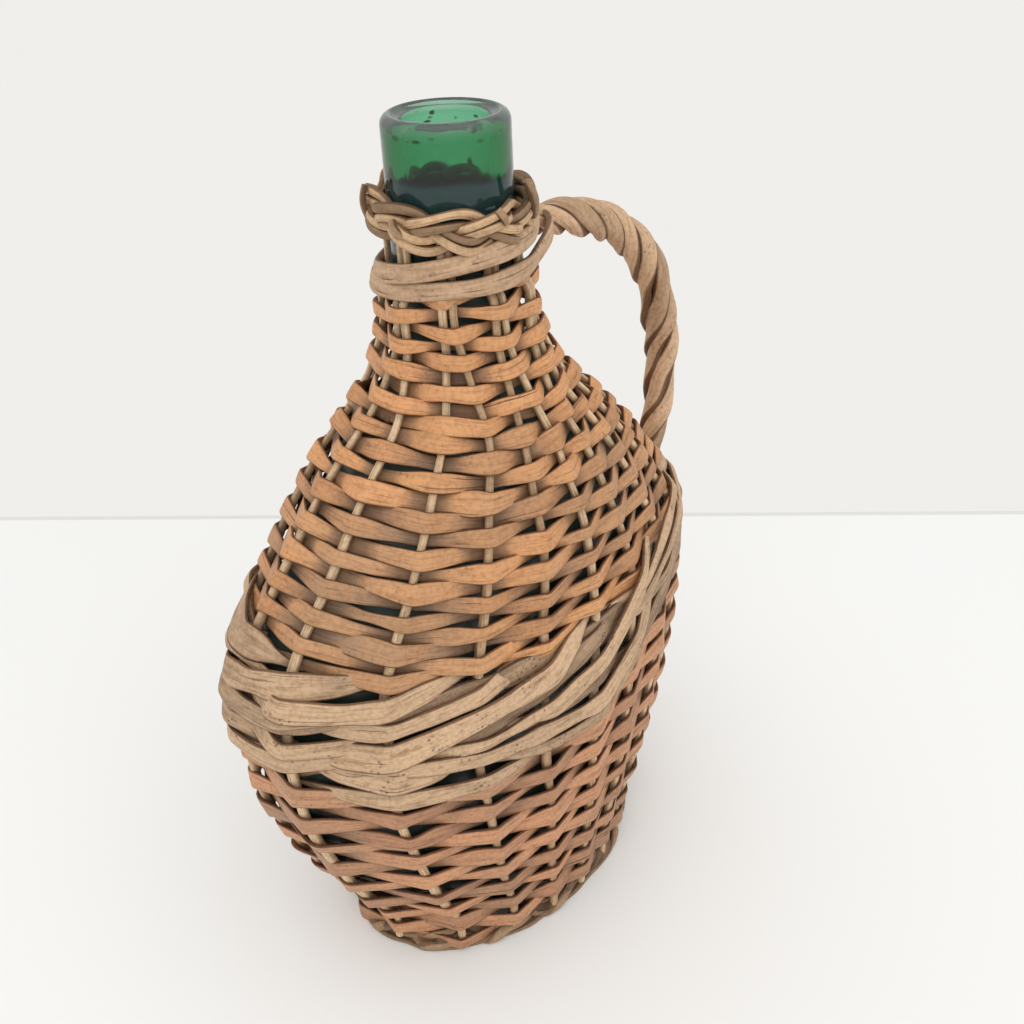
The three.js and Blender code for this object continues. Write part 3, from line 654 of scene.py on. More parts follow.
def green_glass(name, clear, neck_shade_lining):
    """Thick bottle glass: hazy lip (wear and painted highlight), dirt in the mouth, painted dark shade below
    it.
    """
    material, ink = blank(name)
    place = ink.node("ShaderNodeTexCoord", out="Object")
    spot = ink.node("ShaderNodeSeparateXYZ", sockets={0: place})
    height = spot.also(2)
    haze = place.noise(160.0, 4.0)
    wave = place.noise(38.0, 1.0)

    def above(low, high, level=height):
        """A mask that grows from 0 to 1 between two depths below the lip's top."""
        return level.step(LIP_TOP - low, LIP_TOP - high)

    bump = ink.node("ShaderNodeBump", sockets={"Strength": 0.25, "Distance": 0.002, "Height": wave})
    body = ink.node("ShaderNodeBsdfPrincipled", sockets={
        "Base Color": (1.0, 1.0, 1.0, 1.0), "Roughness": 0.04 + haze.step(0.45, 0.8) * 0.14,
        "IOR": 1.5, "Transmission Weight": 1.0, "Normal": bump})
    radius = ((spot - AXIS_X) ** 2.0 + spot.also(1) ** 2.0) ** 0.5
    away = (spot - AXIS_X) * 0.67 + spot.also(1) * 0.74
    # The painted shade lining's edge lies lower on the far side, is uneven and shows higher on the outer
    # face.
    fall = away.step(-0.014, 0.018) * 0.005
    ripple = (wave - 0.5) * 0.004
    fray = (haze - 0.5) * 0.003
    climb = radius.step(0.016, 0.018) * 0.0115
    # Below its edge a dark lining is painted on the glass: painted shade standing in for the dark inside of
    # the jacketed bottle, darkest round the neck.
    shade_lined = 1.0 - above(0.0315, 0.029, height + fall + ripple + fray - climb)
    bare = above(0.06, 0.035)
    shade = ink.mix(BODY_SHADE_LINING, neck_shade_lining, bare)
    shade_lining = ink.node("ShaderNodeBsdfPrincipled", sockets={
        "Base Color": ink.mix(shade, SHADE_LINING_CLOUD, haze.step(0.4, 0.7) * 0.6),
        "Roughness": 0.45 - bare * 0.33, "Normal": bump})
    body = ink.node("ShaderNodeMixShader", sockets={0: shade_lined * 0.86, 1: body, 2: shade_lining})
    inside = 1.0 - radius.step(0.0146, 0.0156)
    mouth = above(0.0082, 0.006) * (1.0 - above(0.003, 0.002))
    crumbs = ink.node("ShaderNodeTexVoronoi", {"feature": "F1"}, {
        "Vector": ink.vector("MULTIPLY", place, (0.7, 0.7, 1.7)), "Scale": 260.0})
    dirt = inside * mouth * (1.0 - crumbs.step(0.3, 0.42)) * place.noise(120.0, 3.0).step(0.4, 0.5)
    # The lip's pale haze: partly worn glass, partly a painted highlight.
    lip_wear_and_sheen = above(0.006, 0.001) * (0.16 + haze.step(0.4, 0.75) * 0.16)
    film = ink.node("ShaderNodeBsdfPrincipled", sockets={
        "Base Color": ink.mix(LIP_HAZE_AND_SHEEN, MOUTH_DIRT, dirt.step(0.02, 0.1)), "Roughness": 0.6})
    cover = lip_wear_and_sheen.sum("MAXIMUM", lip_wear_and_sheen, dirt * 0.9)
    skin = ink.node("ShaderNodeMixShader", sockets={0: cover, 1: body, 2: film})
    depth = ink.node("ShaderNodeVolumeAbsorption", sockets={"Color": (*clear, 1.0), "Density": 240.0})
    ink.node("ShaderNodeOutputMaterial", sockets={"Surface": skin, "Volume": depth})
    return material


def seat(piece, slot, *nodes):
    """Hangs a finished piece under the root body and hides the CAD nodes that it stands for."""
    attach(piece, "root")
    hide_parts(*nodes)


def dress(bundle, name, finish, slot, nodes, section=12, squareness=0.9):
    """Sweeps a bundle into one piece of some willow and seats it."""
    seat(bundle.piece(name, willow(finish), section, squareness), slot, *nodes)


def numbered(stem, first, last):
    """Names with a number at the end."""
    return [f"{stem}_{i}" for i in range(first, last + 1)]


def crosswise(points, out):
    """Directions across a path whose flat side faces out."""
    return unit(np.cross(unit(np.gradient(points, axis=0)), out))


def outward(turns):
    """Level directions at some angles."""
    return np.stack([np.cos(turns), np.sin(turns), np.zeros(len(turns))], -1)


def oval(turns, half_length, half_width, heights):
    """Points at some angles of an oval round the bottle's axis."""
    return np.stack([AXIS_X + half_length * np.cos(turns), half_width * np.sin(turns),
                     np.broadcast_to(heights, turns.shape)], -1)


def resampled(columns, step):
    """Columns of a path, with x, y and z first, at an even step along it."""
    walked = np.append(0.0, np.cumsum(np.linalg.norm(np.diff(columns[:, :3], axis=0), axis=1)))
    places = np.linspace(0.0, walked[-1], max(int(round(walked[-1] / step)) + 1, 3))
    return np.stack([np.interp(places, walked, column) for column in columns.T], -1)


def softened(columns, width):
    """Columns of an even path with their corners rounded over some stations."""
    reach = int(3 * width)
    weights = np.exp(-0.5 * (np.arange(-reach, reach + 1) / width) ** 2)
    weights /= weights.sum()
    before = 2 * columns[:1] - columns[reach:0:-1]
    after = 2 * columns[-1:] - columns[-2:-reach - 2:-1]
    padded = np.concatenate([before, columns, after])
    return np.stack([np.convolve(column, weights, "valid") for column in padded.T], -1)


class Weave:
    """Lays flat weavers in front of and behind the stakes of a jacket.

    Between two stakes a weaver keeps a share of its bow round the glass, and its corners are rounded. It is
    slimmer behind a stake, and each end tapers to its tip.
    """

    step = 0.0012
    corner = 0.85
    bow = 0.2
    slim = 0.78
    wander = 0.0005
    side_wander = 0.07
    breadth_wander = 0.11
    breadths = (0.82, 1.12)
    deep_ends = 1.1
    tip = 0.4
    taper = 0.009
    lean = 0.0
    roll = 0.1
    end_spread = 0.0
    end_sharpness = 8
    # Sides of a stake between which a weaver comes into sight and grows to its full breadth.
    seen = (-0.9, 0.7)
    full = (-0.4, 0.8)

    def __init__(self, jacket, bundle, **manner):
        self.jacket = jacket
        self.bundle = bundle
        for name, value in manner.items():
            setattr(self, name, value)

    def lay(self, crossings, width, thickness, tuck=0.4, tone=None):
        """One weaver through crossings, each an angle, a height and a side of its stake."""
        jacket, bundle = self.jacket, self.bundle
        turns, levels, sides = np.array(crossings, float).T
        gap_in, gap_out = turns[1] - turns[0], turns[-1] - turns[-2]
        turns = np.concatenate([[turns[0] - tuck * gap_in], turns, [turns[-1] + tuck * gap_out]])
        levels = np.concatenate([levels[:1], levels, levels[-1:]])
        sides = np.concatenate([sides[:1] * self.deep_ends, sides, sides[-1:] * self.deep_ends])
        levels = levels + bundle.random.normal(0.0, self.wander, len(levels))
        sides = sides * (1 + bundle.random.normal(0.0, self.side_wander, len(sides)))
        places = np.arange(2 * len(turns) - 1) / 2
        turns, levels, sides = (np.interp(places, np.arange(len(c)), c) for c in (turns, levels, sides))
        points, _ = jacket.flask.at(turns, levels, jacket.stake_offset(levels) + sides * jacket.swing)
        chord = (points[:-1:2] + points[2::2]) / 2
        points[1::2] = chord + (points[1::2] - chord) * self.bow
        path = resampled(np.column_stack([points, turns, levels, sides]), self.step)
        path = softened(path, self.corner)
        points, turns, levels, sides = path[:, :3], path[:, 3], path[:, 4], path[:, 5]
        _, normals = jacket.flask.at(turns, levels, 0.0)
        n = len(points)
        across = crosswise(points, normals)
        tilt = (self.lean + bundle.rough(n, size=self.roll, spread=24))[:, None]
        # Front tells the willow material where to paint shade behind a stake and a highlight on the crest.
        front = smoothstep(sides, *self.seen)
        fullness = self.slim + (1 - self.slim) * smoothstep(sides, *self.full)
        fullness = fullness * (1 + bundle.rough(n, size=self.breadth_wander, spread=10))
        fullness = fullness * (1 + self.end_spread * np.cos(turns) ** self.end_sharpness)
        ends = np.minimum(np.arange(n), np.arange(n)[::-1]) * self.step
        taper = self.tip + (1 - self.tip) * smoothstep(ends, 0.0, self.taper)
        bundle.add(points, normals * np.cos(tilt) - across * np.sin(tilt), width / 2 * fullness * taper,
                   thickness / 2, front, tone)

    def climb(self, foot, top, pitch, width, skein, grip=1, from_foot=0.5, from_top=0.5, part_rows=()):
        """A weaver that climbs as a helix, cut into skeins that join behind stakes.

        It passes as many stakes at once as its grip says. It begins some rows above the foot and ends some
        rows below the top. Part rows run between two crossings of the same helix beyond its ends.
        """
        jacket, bundle = self.jacket, self.bundle
        groups = jacket.stakes // grip
        rows = max(int(round((top - foot) / pitch)), 2)
        pitch = (top - foot) / rows
        start = int(round((from_foot - 0.5) * groups))
        last = int(round((rows - 0.5 - from_top) * groups))
        runs = list(part_rows)
        while start < last:
            end = min(start + int(bundle.random.uniform(*skein)) * 2, last)
            runs.append((start, end))
            start = end
        for first, end in runs:
            crossings = []
            for k in range(first, end + 1):
                height = foot + pitch * (0.5 + k / groups)
                held = grip * (k % groups)
                for stake in range(held, held + grip):
                    level = jacket.row_height(height, jacket.body_angles[stake])
                    turn = jacket.stake_angle(stake, level) + k // groups * FULL_TURN
                    crossings.append((turn, jacket.row_height(height, turn), 1 if k % 2 else -1))
            self.lay(crossings, width * bundle.random.uniform(*self.breadths), jacket.sizes.thickness)


class DEMIJOHN_OT_glass(bpy.types.Operator):
    """Makes the glass flask with its open bore"""

    bl_idname = "demijohn.glass"
    bl_label = "Glass flask"

    around = 96
    levels = 90
    round_points = 7

    def execute(self, context):
        sizes = context.scene.demijohn_flask
        flask = Flask(sizes)
        heel, lip = flask.levels[0], LIP_TOP - sizes.lip_round
        quarter = np.linspace(0.0, math.pi / 2, self.round_points)
        inset = sizes.rises[0] * (1 - np.sin(quarter))
        profile = [(flask.length(heel) - d, flask.width(heel) - d, heel - sizes.rises[0] * math.cos(q))
                   for d, q in zip(inset, quarter)]
        profile += [(flask.length(z), flask.width(z), z) for z in np.linspace(heel, lip, self.levels)[1:]]
        rim = flask.length(lip)
        for q in quarter[1:]:
            radius = rim - sizes.lip_round * (1 - math.cos(q))
            profile.append((radius, radius, lip + sizes.lip_round * math.sin(q)))
        edge = sizes.bore + sizes.lip_dish
        profile.append((edge + sizes.lip_dish, edge + sizes.lip_dish, LIP_TOP - sizes.lip_dish / 2))
        for q in quarter:
            radius = edge - sizes.lip_dish * math.sin(q)
            profile.append((radius, radius, LIP_TOP - sizes.lip_dish * (2 - math.cos(q))))
        neck = flask.levels[flask.neck_level]

        def inner(halves):
            """Curve of the inner face: an even wall in the body and the bore in the neck."""
            return outline(flask.levels, [
                half - sizes.wall if z < neck else sizes.bore for half, z in zip(halves, flask.levels)])

        inner_length, inner_width = inner(sizes.half_lengths), inner(sizes.half_widths)
        bore_top, bottom = LIP_TOP - 2.5 * sizes.lip_dish, GLASS_LOW.z + sizes.floor
        profile += [(inner_length(z), inner_width(z), z) for z in np.linspace(bore_top, bottom, self.levels)]
        turns = np.arange(self.around) / self.around * FULL_TURN
        rings = np.array([[(AXIS_X + a * math.cos(t), b * math.sin(t), z) for t in turns]
                          for a, b, z in profile])
        faces = []
        for i in range(len(rings) - 1):
            low, high = i * self.around, (i + 1) * self.around
            faces += [(low + j, low + (j + 1) % self.around, high + (j + 1) % self.around, high + j)
                      for j in range(self.around)]
        faces.append(tuple(reversed(range(self.around))))
        faces.append(tuple(range(len(rings) * self.around - self.around, len(rings) * self.around)))
        mesh = bpy.data.meshes.new("flask")
        mesh.from_pydata(rings.reshape(-1, 3).tolist(), [], faces)
        mesh.polygons.foreach_set("use_smooth", [True] * len(mesh.polygons))
        finish = context.scene.demijohn_finish
        mesh.materials.append(green_glass("Green bottle glass", finish.glass_clear, finish.neck_shade_lining))
        piece = bpy.data.objects.new("flask", mesh)
        context.scene.collection.objects.link(piece)
        seat(piece, "glass", "glass_bottle")
        return {"FINISHED"}


class DEMIJOHN_OT_stakes(bpy.types.Operator):
    """Stands the willow stakes round the flask"""

    bl_idname = "demijohn.stakes"
    bl_label = "Stakes"

    station = 0.002
    overlap = 0.004
    flatness = 1.08

    def execute(self, context):
        scene = context.scene
        jacket = Jacket(scene)
        bundle = Bundle(scene.demijohn_jacket.seed)
        nodes = []
        for k in range(jacket.stakes):
            extra = k == jacket.stakes - 1
            top = jacket.split if extra else jacket.plait_foot + self.overlap
            heights = np.arange(jacket.foot - self.overlap, top, self.station)
            n = len(heights)
            turns = jacket.stake_angle(k, heights) + bundle.rough(n, size=0.006, spread=9)
            points, normals = jacket.flask.at(turns, heights, jacket.stake_offset(heights))
            size = jacket.stake_size(heights) * (1 + bundle.rough(n, size=0.05, spread=6))
            bundle.add(points, normals, size * self.flatness, size)
            nodes.append("stake_extra" if extra else f"stake_{k // 2 + 1}{'b' if k % 2 else 'a'}")
        dress(bundle, "stakes", "Stake willow", "stake_willow", nodes)
        return {"FINISHED"}


class DEMIJOHN_OT_weave(bpy.types.Operator):
    """Weaves the split willow round the stakes, below and above the belly band and round the neck"""

    bl_idname = "demijohn.weave"
    bl_label = "Weavers"

    # Part rows of the lower weave at the foot and at the narrow ends, by first and last crossing.
    fillings = ((-20, -16), (290, 296), (310, 314), (330, 332), (300, 304), (320, 322))

    def execute(self, context):
        scene = context.scene
        sizes = scene.demijohn_jacket
        jacket = Jacket(scene)
        below = Weave(jacket, Bundle(sizes.seed + 1), end_spread=0.3)
        below.climb(jacket.foot, jacket.wale_foot, sizes.lower_pitch, sizes.lower_width, skein=(6, 12),
                    from_foot=0.0, from_top=0.45, part_rows=self.fillings)
        above = Weave(jacket, Bundle(sizes.seed + 2))
        above.climb(jacket.wale_top, jacket.split, sizes.upper_pitch, sizes.upper_width, skein=(7, 13),
                    from_foot=-0.45, from_top=-0.5)
        neck = Weave(jacket, Bundle(sizes.seed + 3))
        neck.climb(jacket.split, jacket.weave_top, sizes.upper_pitch, sizes.neck_width, skein=(8, 14), grip=2,
                   from_top=-0.9)
        for weave, name, finish, slot, nodes in (
                (below, "lower_weave", "Lower weave", "lower_weave", numbered("lower_skein", 1, 6)),
                (above, "upper_weave", "Upper weave", "upper_weave", numbered("upper_skein", 1, 6)),
                (neck, "neck_weave", "Neck weave", "upper_weave", ["neck_skein"])):
            dress(weave.bundle, name, finish, slot, nodes, squareness=0.55)
        return {"FINISHED"}


class DEMIJOHN_OT_wale(bpy.types.Operator):
    """Lays the broad pale strands of the belly band"""

    bl_idname = "demijohn.wale"
    bl_label = "Belly band"

    # First stake, breadth, tone, layer and the height at each stake. The two ends are tucked in, and a layer
    # below 0 is a backing strand.
    strands = (
        (-2, 0.0098, 0.55, 0, (0.177, 0.1815, 0.1815, 0.179)),
        (-1, 0.0102, 0.62, 1, (0.169, 0.173, 0.1745, 0.1755)),
        (0, 0.0096, 0.92, 2, (0.172, 0.1705, 0.168, 0.17)),
        (-1, 0.0088, 0.45, 0, (0.166, 0.1645, 0.1625, 0.16)),
        (-2, 0.0088, 0.55, 1, (0.155, 0.1568, 0.1555, 0.151)),
        (0, 0.0084, 0.88, 2, (0.159, 0.1555, 0.15)),
        (-1, 0.0084, 0.74, 1, (0.143, 0.1465, 0.1475, 0.144)),
        (1, 0.0078, 0.9, 1, (0.162, 0.1575, 0.1605, 0.167)),
        (1, 0.0102, 0.98, 2, (0.15, 0.1475, 0.1515, 0.1565, 0.169)),
        (2, 0.0094, 0.3, 0, (0.144, 0.1445, 0.148, 0.156, 0.17)),
        (1, 0.0076, 0.8, 1, (0.147, 0.1405, 0.1305, 0.1255, 0.1215, 0.139, 0.157)),
        (1, 0.009, 0.95, 2, (0.145, 0.1335, 0.127)),
        (1, 0.0078, 0.7, 1, (0.133, 0.1235, 0.1165, 0.11)),
        (2, 0.0052, 0.95, 2, (0.138, 0.1385, 0.14, 0.147, 0.17, 0.182)),
        (3, 0.0042, 0.9, 2, (0.141, 0.1345, 0.141, 0.163, 0.182)),
        (3, 0.006, 0.55, 0, (0.122, 0.117, 0.112, 0.128, 0.146)),
        (4, 0.006, 0.45, 0, (0.152, 0.152, 0.156, 0.176)),
        (5, 0.0056, 0.65, 1, (0.153, 0.152, 0.165, 0.173, 0.177)),
        (5, 0.005, 0.8, 2, (0.163, 0.165, 0.178, 0.182, 0.182)),
        (6, 0.006, 0.5, 0, (0.128, 0.147, 0.16, 0.17, 0.172)),
        (6, 0.0058, 0.62, 1, (0.141, 0.156, 0.169, 0.177, 0.178)),
        (7, 0.006, 0.5, 0, (0.138, 0.15, 0.161, 0.165)),
        (8, 0.007, 0.5, 1, (0.162, 0.166, 0.17, 0.172)),
        (-2, 0.0105, 0.15, -0.4, (0.166, 0.169, 0.168, 0.166)),
        (-2, 0.0105, 0.15, -0.4, (0.149, 0.1515, 0.1515, 0.149)),
        (1, 0.0105, 0.3, -0.4, (0.164, 0.1615, 0.1625, 0.1615, 0.164)),
        (4, 0.0105, 0.25, -0.4, (0.157, 0.159, 0.163, 0.172)),
        (5, 0.0095, 0.3, -0.4, (0.13, 0.131, 0.143, 0.153, 0.16)),
        (3, 0.009, 0.2, -0.4, (0.134, 0.132, 0.133, 0.143)),
    )
    first_layer = 0.85
    layer_step = 0.5
    tucked = -0.8
    tuck = 0.1
    bulge = 1.1
    bulge_sharpness = 16
    back_drop = 0.0015

    def execute(self, context):
        scene = context.scene
        sizes = scene.demijohn_jacket
        jacket = Jacket(scene)
        bundle = Bundle(sizes.seed + 4)
        weave = Weave(jacket, bundle, corner=2.4, bow=0.5, slim=0.6, wander=0.0008, tip=0.45, taper=0.022,
                      lean=0.14)

        def stake_turn(stake):
            return jacket.body_angles[stake % jacket.stakes] + stake // jacket.stakes * FULL_TURN

        for round_back in (0, jacket.stakes // 2 + 1):
            drop = self.back_drop if round_back else 0.0
            for first, breadth, tone, layer, levels in self.strands:
                crossings = []
                for i, level in enumerate(levels):
                    turn = stake_turn(first + round_back + i)
                    climb = math.cos(turn) ** 2 - math.cos(stake_turn(first + i)) ** 2
                    bulge = self.bulge * max(-math.cos(turn), 0.0) ** self.bulge_sharpness
                    stand = self.first_layer + self.layer_step * layer + bulge
                    side = self.tucked if i in (0, len(levels) - 1) else stand
                    crossings.append((turn, level + sizes.low_lift * climb - drop, side))
                weave.lay(crossings, breadth, sizes.wale_thickness, self.tuck, tone)
        dress(bundle, "belly_band", "Pale willow", "pale_willow", numbered("wale", 1, 5), section=14,
              squareness=0.62)
        return {"FINISHED"}


class DEMIJOHN_OT_neck_bands(bpy.types.Operator):
    """Wraps the two pale bands round the neck, one over and one under the handle's root"""

    bl_idname = "demijohn.neck_bands"
    bl_label = "Neck bands"

    steps = 170
    start = math.radians(60)
    overlap = 0.5
    overlap_reach = 0.0014
    root_breadth = math.radians(62)
    over_root = 0.0125
    under_root = 0.007
    out_root = 0.0135
    clearance = 0.0034
    half_thick = 0.0013
    lean = 0.12
    tone = 0.55

    def execute(self, context):
        scene = context.scene
        trim = scene.demijohn_trim
        jacket = Jacket(scene)
        bundle = Bundle(scene.demijohn_jacket.seed + 5)
        n = self.steps
        turns = self.start + np.linspace(0.0, FULL_TURN + self.overlap, n)
        out = outward(turns)
        beside = np.abs((turns + math.pi) % FULL_TURN - math.pi)
        at_root = 1 - smoothstep(beside, 0.0, self.root_breadth)
        # Rise, tilt and angle of the crest, then hump and reach at the handle's root, and the breadth.
        bands = (
            (0.0054, 0.003, 290, self.under_root * at_root ** 1.3, self.out_root * at_root ** 1.6, 0.92),
            (0.0127, 0.0054, 296, self.over_root * at_root, 0.2 * self.out_root * at_root, 1.0),
        )
        for rise, tilt, crest, hump, reach, breadth in bands:
            heights = jacket.weave_top + rise + tilt * np.cos(turns - math.radians(crest)) + hump
            heights = heights + bundle.rough(n, size=0.00035, spread=18)
            neck = np.minimum(heights, jacket.plait_foot)
            radii = jacket.flask.length(neck) + jacket.stake_offset(neck) + self.clearance + reach
            radii = radii + np.linspace(0.0, self.overlap_reach, n)
            lean = bundle.rough(n, size=0.16, spread=22) + self.lean
            width = trim.band_width / 2 * breadth * (1 + bundle.rough(n, size=0.14, spread=16))
            bundle.add(oval(turns, radii, radii, heights), unit(out + UP * lean[:, None]), width,
                       self.half_thick, tone=self.tone)
        dress(bundle, "neck_bands", "Band willow", "pale_willow", numbered("neck_band", 1, 2), section=16,
              squareness=0.6)
        return {"FINISHED"}


class DEMIJOHN_OT_plait(bpy.types.Operator):
    """Plaits the border of paired rods under the lip"""

    bl_idname = "demijohn.plait"
    bl_label = "Plaited border"

    strands = 3
    rods = 2
    steps = 280
    high_side = math.radians(100)
    # In rod radii: how far a strand dips in and out, how near it comes to the glass, and how far apart its
    # two rods lie.
    depth = 1.3
    play = 1.2
    apart = 2.0
    parting = 0.35
    flatness = 1.06
    # Cut ends: angle in degrees and height from the plait's top of the root, then of the tip, the fatness and
    # the tip's share of it.
    ends = (
        (304, -0.009, 291, 0.0035, 1.5, 0.55), (152, -0.008, 149, 0.0022, 1.0, 0.8),
        (188, -0.0052, 196, -0.0095, 0.95, 0.9), (262, -0.0025, 268, -0.0072, 0.9, 0.85),
        (20, -0.009, 27, 0.002, 1.0, 0.8), (95, -0.003, 104, -0.009, 0.9, 0.85),
    )
    end_steps = 14
    end_play = 1.6
    end_bow = 0.0012
    end_flatness = 0.8

    def execute(self, context):
        scene = context.scene
        trim = scene.demijohn_trim
        jacket = Jacket(scene)
        bundle = Bundle(scene.demijohn_jacket.seed + 6)
        n, rod = self.steps, trim.plait_rod
        middle = jacket.plait_top - trim.plait_height / 2
        swing = trim.plait_height / 2 - 2 * rod
        depth = self.depth * rod
        radius = jacket.flask.length(middle) + depth + self.play * rod
        turns = np.linspace(0.0, FULL_TURN, n)
        out = outward(turns)
        tilt = trim.plait_tilt * np.cos(turns - self.high_side)
        for strand in range(self.strands):
            wave = trim.plait_lays * turns + strand / self.strands * FULL_TURN
            wave = wave + bundle.rough(n, size=0.13, spread=22)
            heights = middle + swing * (1 + bundle.rough(n, size=0.12, spread=25)) * np.sin(wave) + tilt
            radii = radius + depth * np.sin(2 * wave)
            points = oval(turns, radii, radii, heights)
            across = crosswise(points, out)
            apart = self.apart + self.parting * np.sin(wave) ** 4
            for i in range(self.rods):
                shift = (i - (self.rods - 1) / 2) * rod * apart + bundle.rough(n, size=0.0002, spread=16)
                thick = rod * (1 + bundle.rough(n, size=0.08, spread=18))
                bundle.add(points + across * shift[:, None], out, thick * self.flatness, thick)
        self.add_ends(bundle, radius, jacket.plait_top, rod)
        dress(bundle, "plait", "Plait willow", "stake_willow", numbered("plait_rod", 1, 3))
        return {"FINISHED"}

    def add_ends(self, bundle, radius, top, rod):
        """Adds the cut rod ends that stand out of the plait."""
        s = np.linspace(0.0, 1.0, self.end_steps)
        reach = radius + self.end_play * rod + self.end_bow * np.sin(math.pi * s)
        for first, low, last, high, fat, tip in self.ends:
            turns = np.radians(first + (last - first) * s)
            size = rod * fat * (1 + (tip - 1) * s ** 2)
            bundle.add(oval(turns, reach, reach, top + low + (high - low) * s), outward(turns), size,
                       size * self.end_flatness)


class DEMIJOHN_OT_handle(bpy.types.Operator):
    """Twists the rope handle from the neck down to the belly band"""

    bl_idname = "demijohn.handle"
    bl_label = "Rope handle"

    steps = 240
    station = 0.0012
    # Distance from the bottle's axis and height of each end, and the pull that bends the curve there.
    root = (0.0262, 0.3015)
    root_pull = 0.081
    foot = (0.1082, 0.172)
    foot_pull = 0.072
    foot_lean = math.radians(15)
    # Where along the handle the lay grows, and how far and how much each end is slimmer.
    lay_change = (0.03, 0.12)
    root_taper = 0.045
    root_loss = 0.3
    foot_taper = 0.06
    foot_loss = 0.24
    half_width = 0.0033
    half_thick = 0.0026
    shingle = 0.32
    tones = (0.35, 0.95)

    def execute(self, context):
        scene = context.scene
        trim = scene.demijohn_trim
        bundle = Bundle(scene.demijohn_jacket.seed + 7)
        s = np.linspace(0.0, 1.0, self.steps)[:, None]
        root, foot = np.array(self.root), np.array(self.foot)
        lean = np.array([math.sin(self.foot_lean), math.cos(self.foot_lean)])
        first, second = root + (self.root_pull, 0.0), foot + self.foot_pull * lean
        curve = ((1 - s) ** 3 * root + 3 * s * (1 - s) ** 2 * first
                 + 3 * s * s * (1 - s) * second + s ** 3 * foot)
        middle = np.stack([AXIS_X + curve[:, 0], np.zeros(self.steps), curve[:, 1]], -1)
        path = resampled(middle, self.station)
        n = len(path)
        along = unit(np.gradient(path, axis=0))
        side = np.broadcast_to([0.0, 1.0, 0.0], (n, 3))
        bow = unit(np.cross(along, side))
        walked = np.arange(n) * self.station
        lay = trim.handle_lay + (trim.handle_end_lay - trim.handle_lay) * smoothstep(walked, *self.lay_change)
        twist = np.cumsum(self.station / lay)
        at_foot = smoothstep(walked, walked[-1] - self.foot_taper, walked[-1])
        at_root = 1 - smoothstep(walked, 0.0, self.root_taper)
        slim = 1 - self.foot_loss * at_foot - self.root_loss * at_root
        for strand in range(trim.handle_strands):
            turn = twist + strand / trim.handle_strands
            turn = (turn + bundle.rough(n, size=0.025, spread=14)) * FULL_TURN
            out = bow * np.cos(turn)[:, None] - side * np.sin(turn)[:, None]
            core = trim.handle_core * (1 + bundle.rough(n, size=0.05, spread=24)) * slim
            width = self.half_width * np.sqrt(lay / trim.handle_lay)
            width = width * (1 + bundle.rough(n, size=0.16, spread=12)) * slim
            thick = self.half_thick * (1 + bundle.rough(n, size=0.1, spread=18)) * slim
            points = path + out * core[:, None]
            across = crosswise(points, out)
            tone = bundle.random.uniform(*self.tones)
            bundle.add(points, out + across * self.shingle, width, thick, tone=tone)
        dress(bundle, "handle", "Rope willow", "pale_willow", numbered("handle_rod", 1, 5), section=16,
              squareness=0.78)
        return {"FINISHED"}


class DEMIJOHN_OT_foot_rope(bpy.types.Operator):
    """Twists the dark rope that the jacket stands on"""

    bl_idname = "demijohn.foot_rope"
    bl_label = "Foot rope"

    steps = 420
    # In rod radii: how far the core lies inside the CAD rope's outline, its height and its half-sizes.
    inset = 1.8
    level = 0.65
    core_width = 0.5
    core_thick = 0.7
    # The curls round the core: shift of each one's wave, and in rod radii its place, its reach and its size.
    curl_shift = 2.1
    inwards = (0.1, 0.55)
    upwards = (0.6, 0.7)
    curl_reach = 1.1
    curl_size = 0.85
    curl_flatness = 1.25

    def execute(self, context):
        scene = context.scene
        trim = scene.demijohn_trim
        bundle = Bundle(scene.demijohn_jacket.seed + 8)
        n, rod = self.steps, trim.foot_rod
        low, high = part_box("foot_rod_1")
        half_length = (high.x - low.x) / 2 - self.inset * rod
        half_width = (high.y - low.y) / 2 - self.inset * rod
        lays = round(math.pi * (half_length + half_width) / trim.foot_lay)
        turns = np.linspace(0.0, FULL_TURN, n)
        away = unit(np.stack([np.cos(turns) / half_length, np.sin(turns) / half_width, np.zeros(n)], -1))
        ring = oval(turns, half_length, half_width, self.level * rod)
        drift = bundle.rough(n, size=0.0009, spread=12)
        size = rod * (1 + bundle.rough(n, size=0.18, spread=9))
        bundle.add(ring + away * drift[:, None], away, size * self.core_width, size * self.core_thick)
        for curl in range(1, trim.foot_rods):
            wave = (lays + curl) * turns + curl * self.curl_shift + bundle.rough(n, size=0.7, spread=12)
            out = away * np.cos(wave)[:, None] + UP * np.sin(wave)[:, None]
            inwards = self.inwards[0] + self.inwards[1] * curl
            upwards = self.upwards[0] + self.upwards[1] * curl
            middle = ring - away * inwards * rod + UP * upwards * rod
            size = self.curl_size * rod * (1 + bundle.rough(n, size=0.22, spread=9))
            bundle.add(middle + out * self.curl_reach * rod, out, size * self.curl_flatness, size)
        dress(bundle, "foot_rope", "Foot rope", "foot_rope", numbered("foot_rod", 1, 2), squareness=0.85)
        return {"FINISHED"}


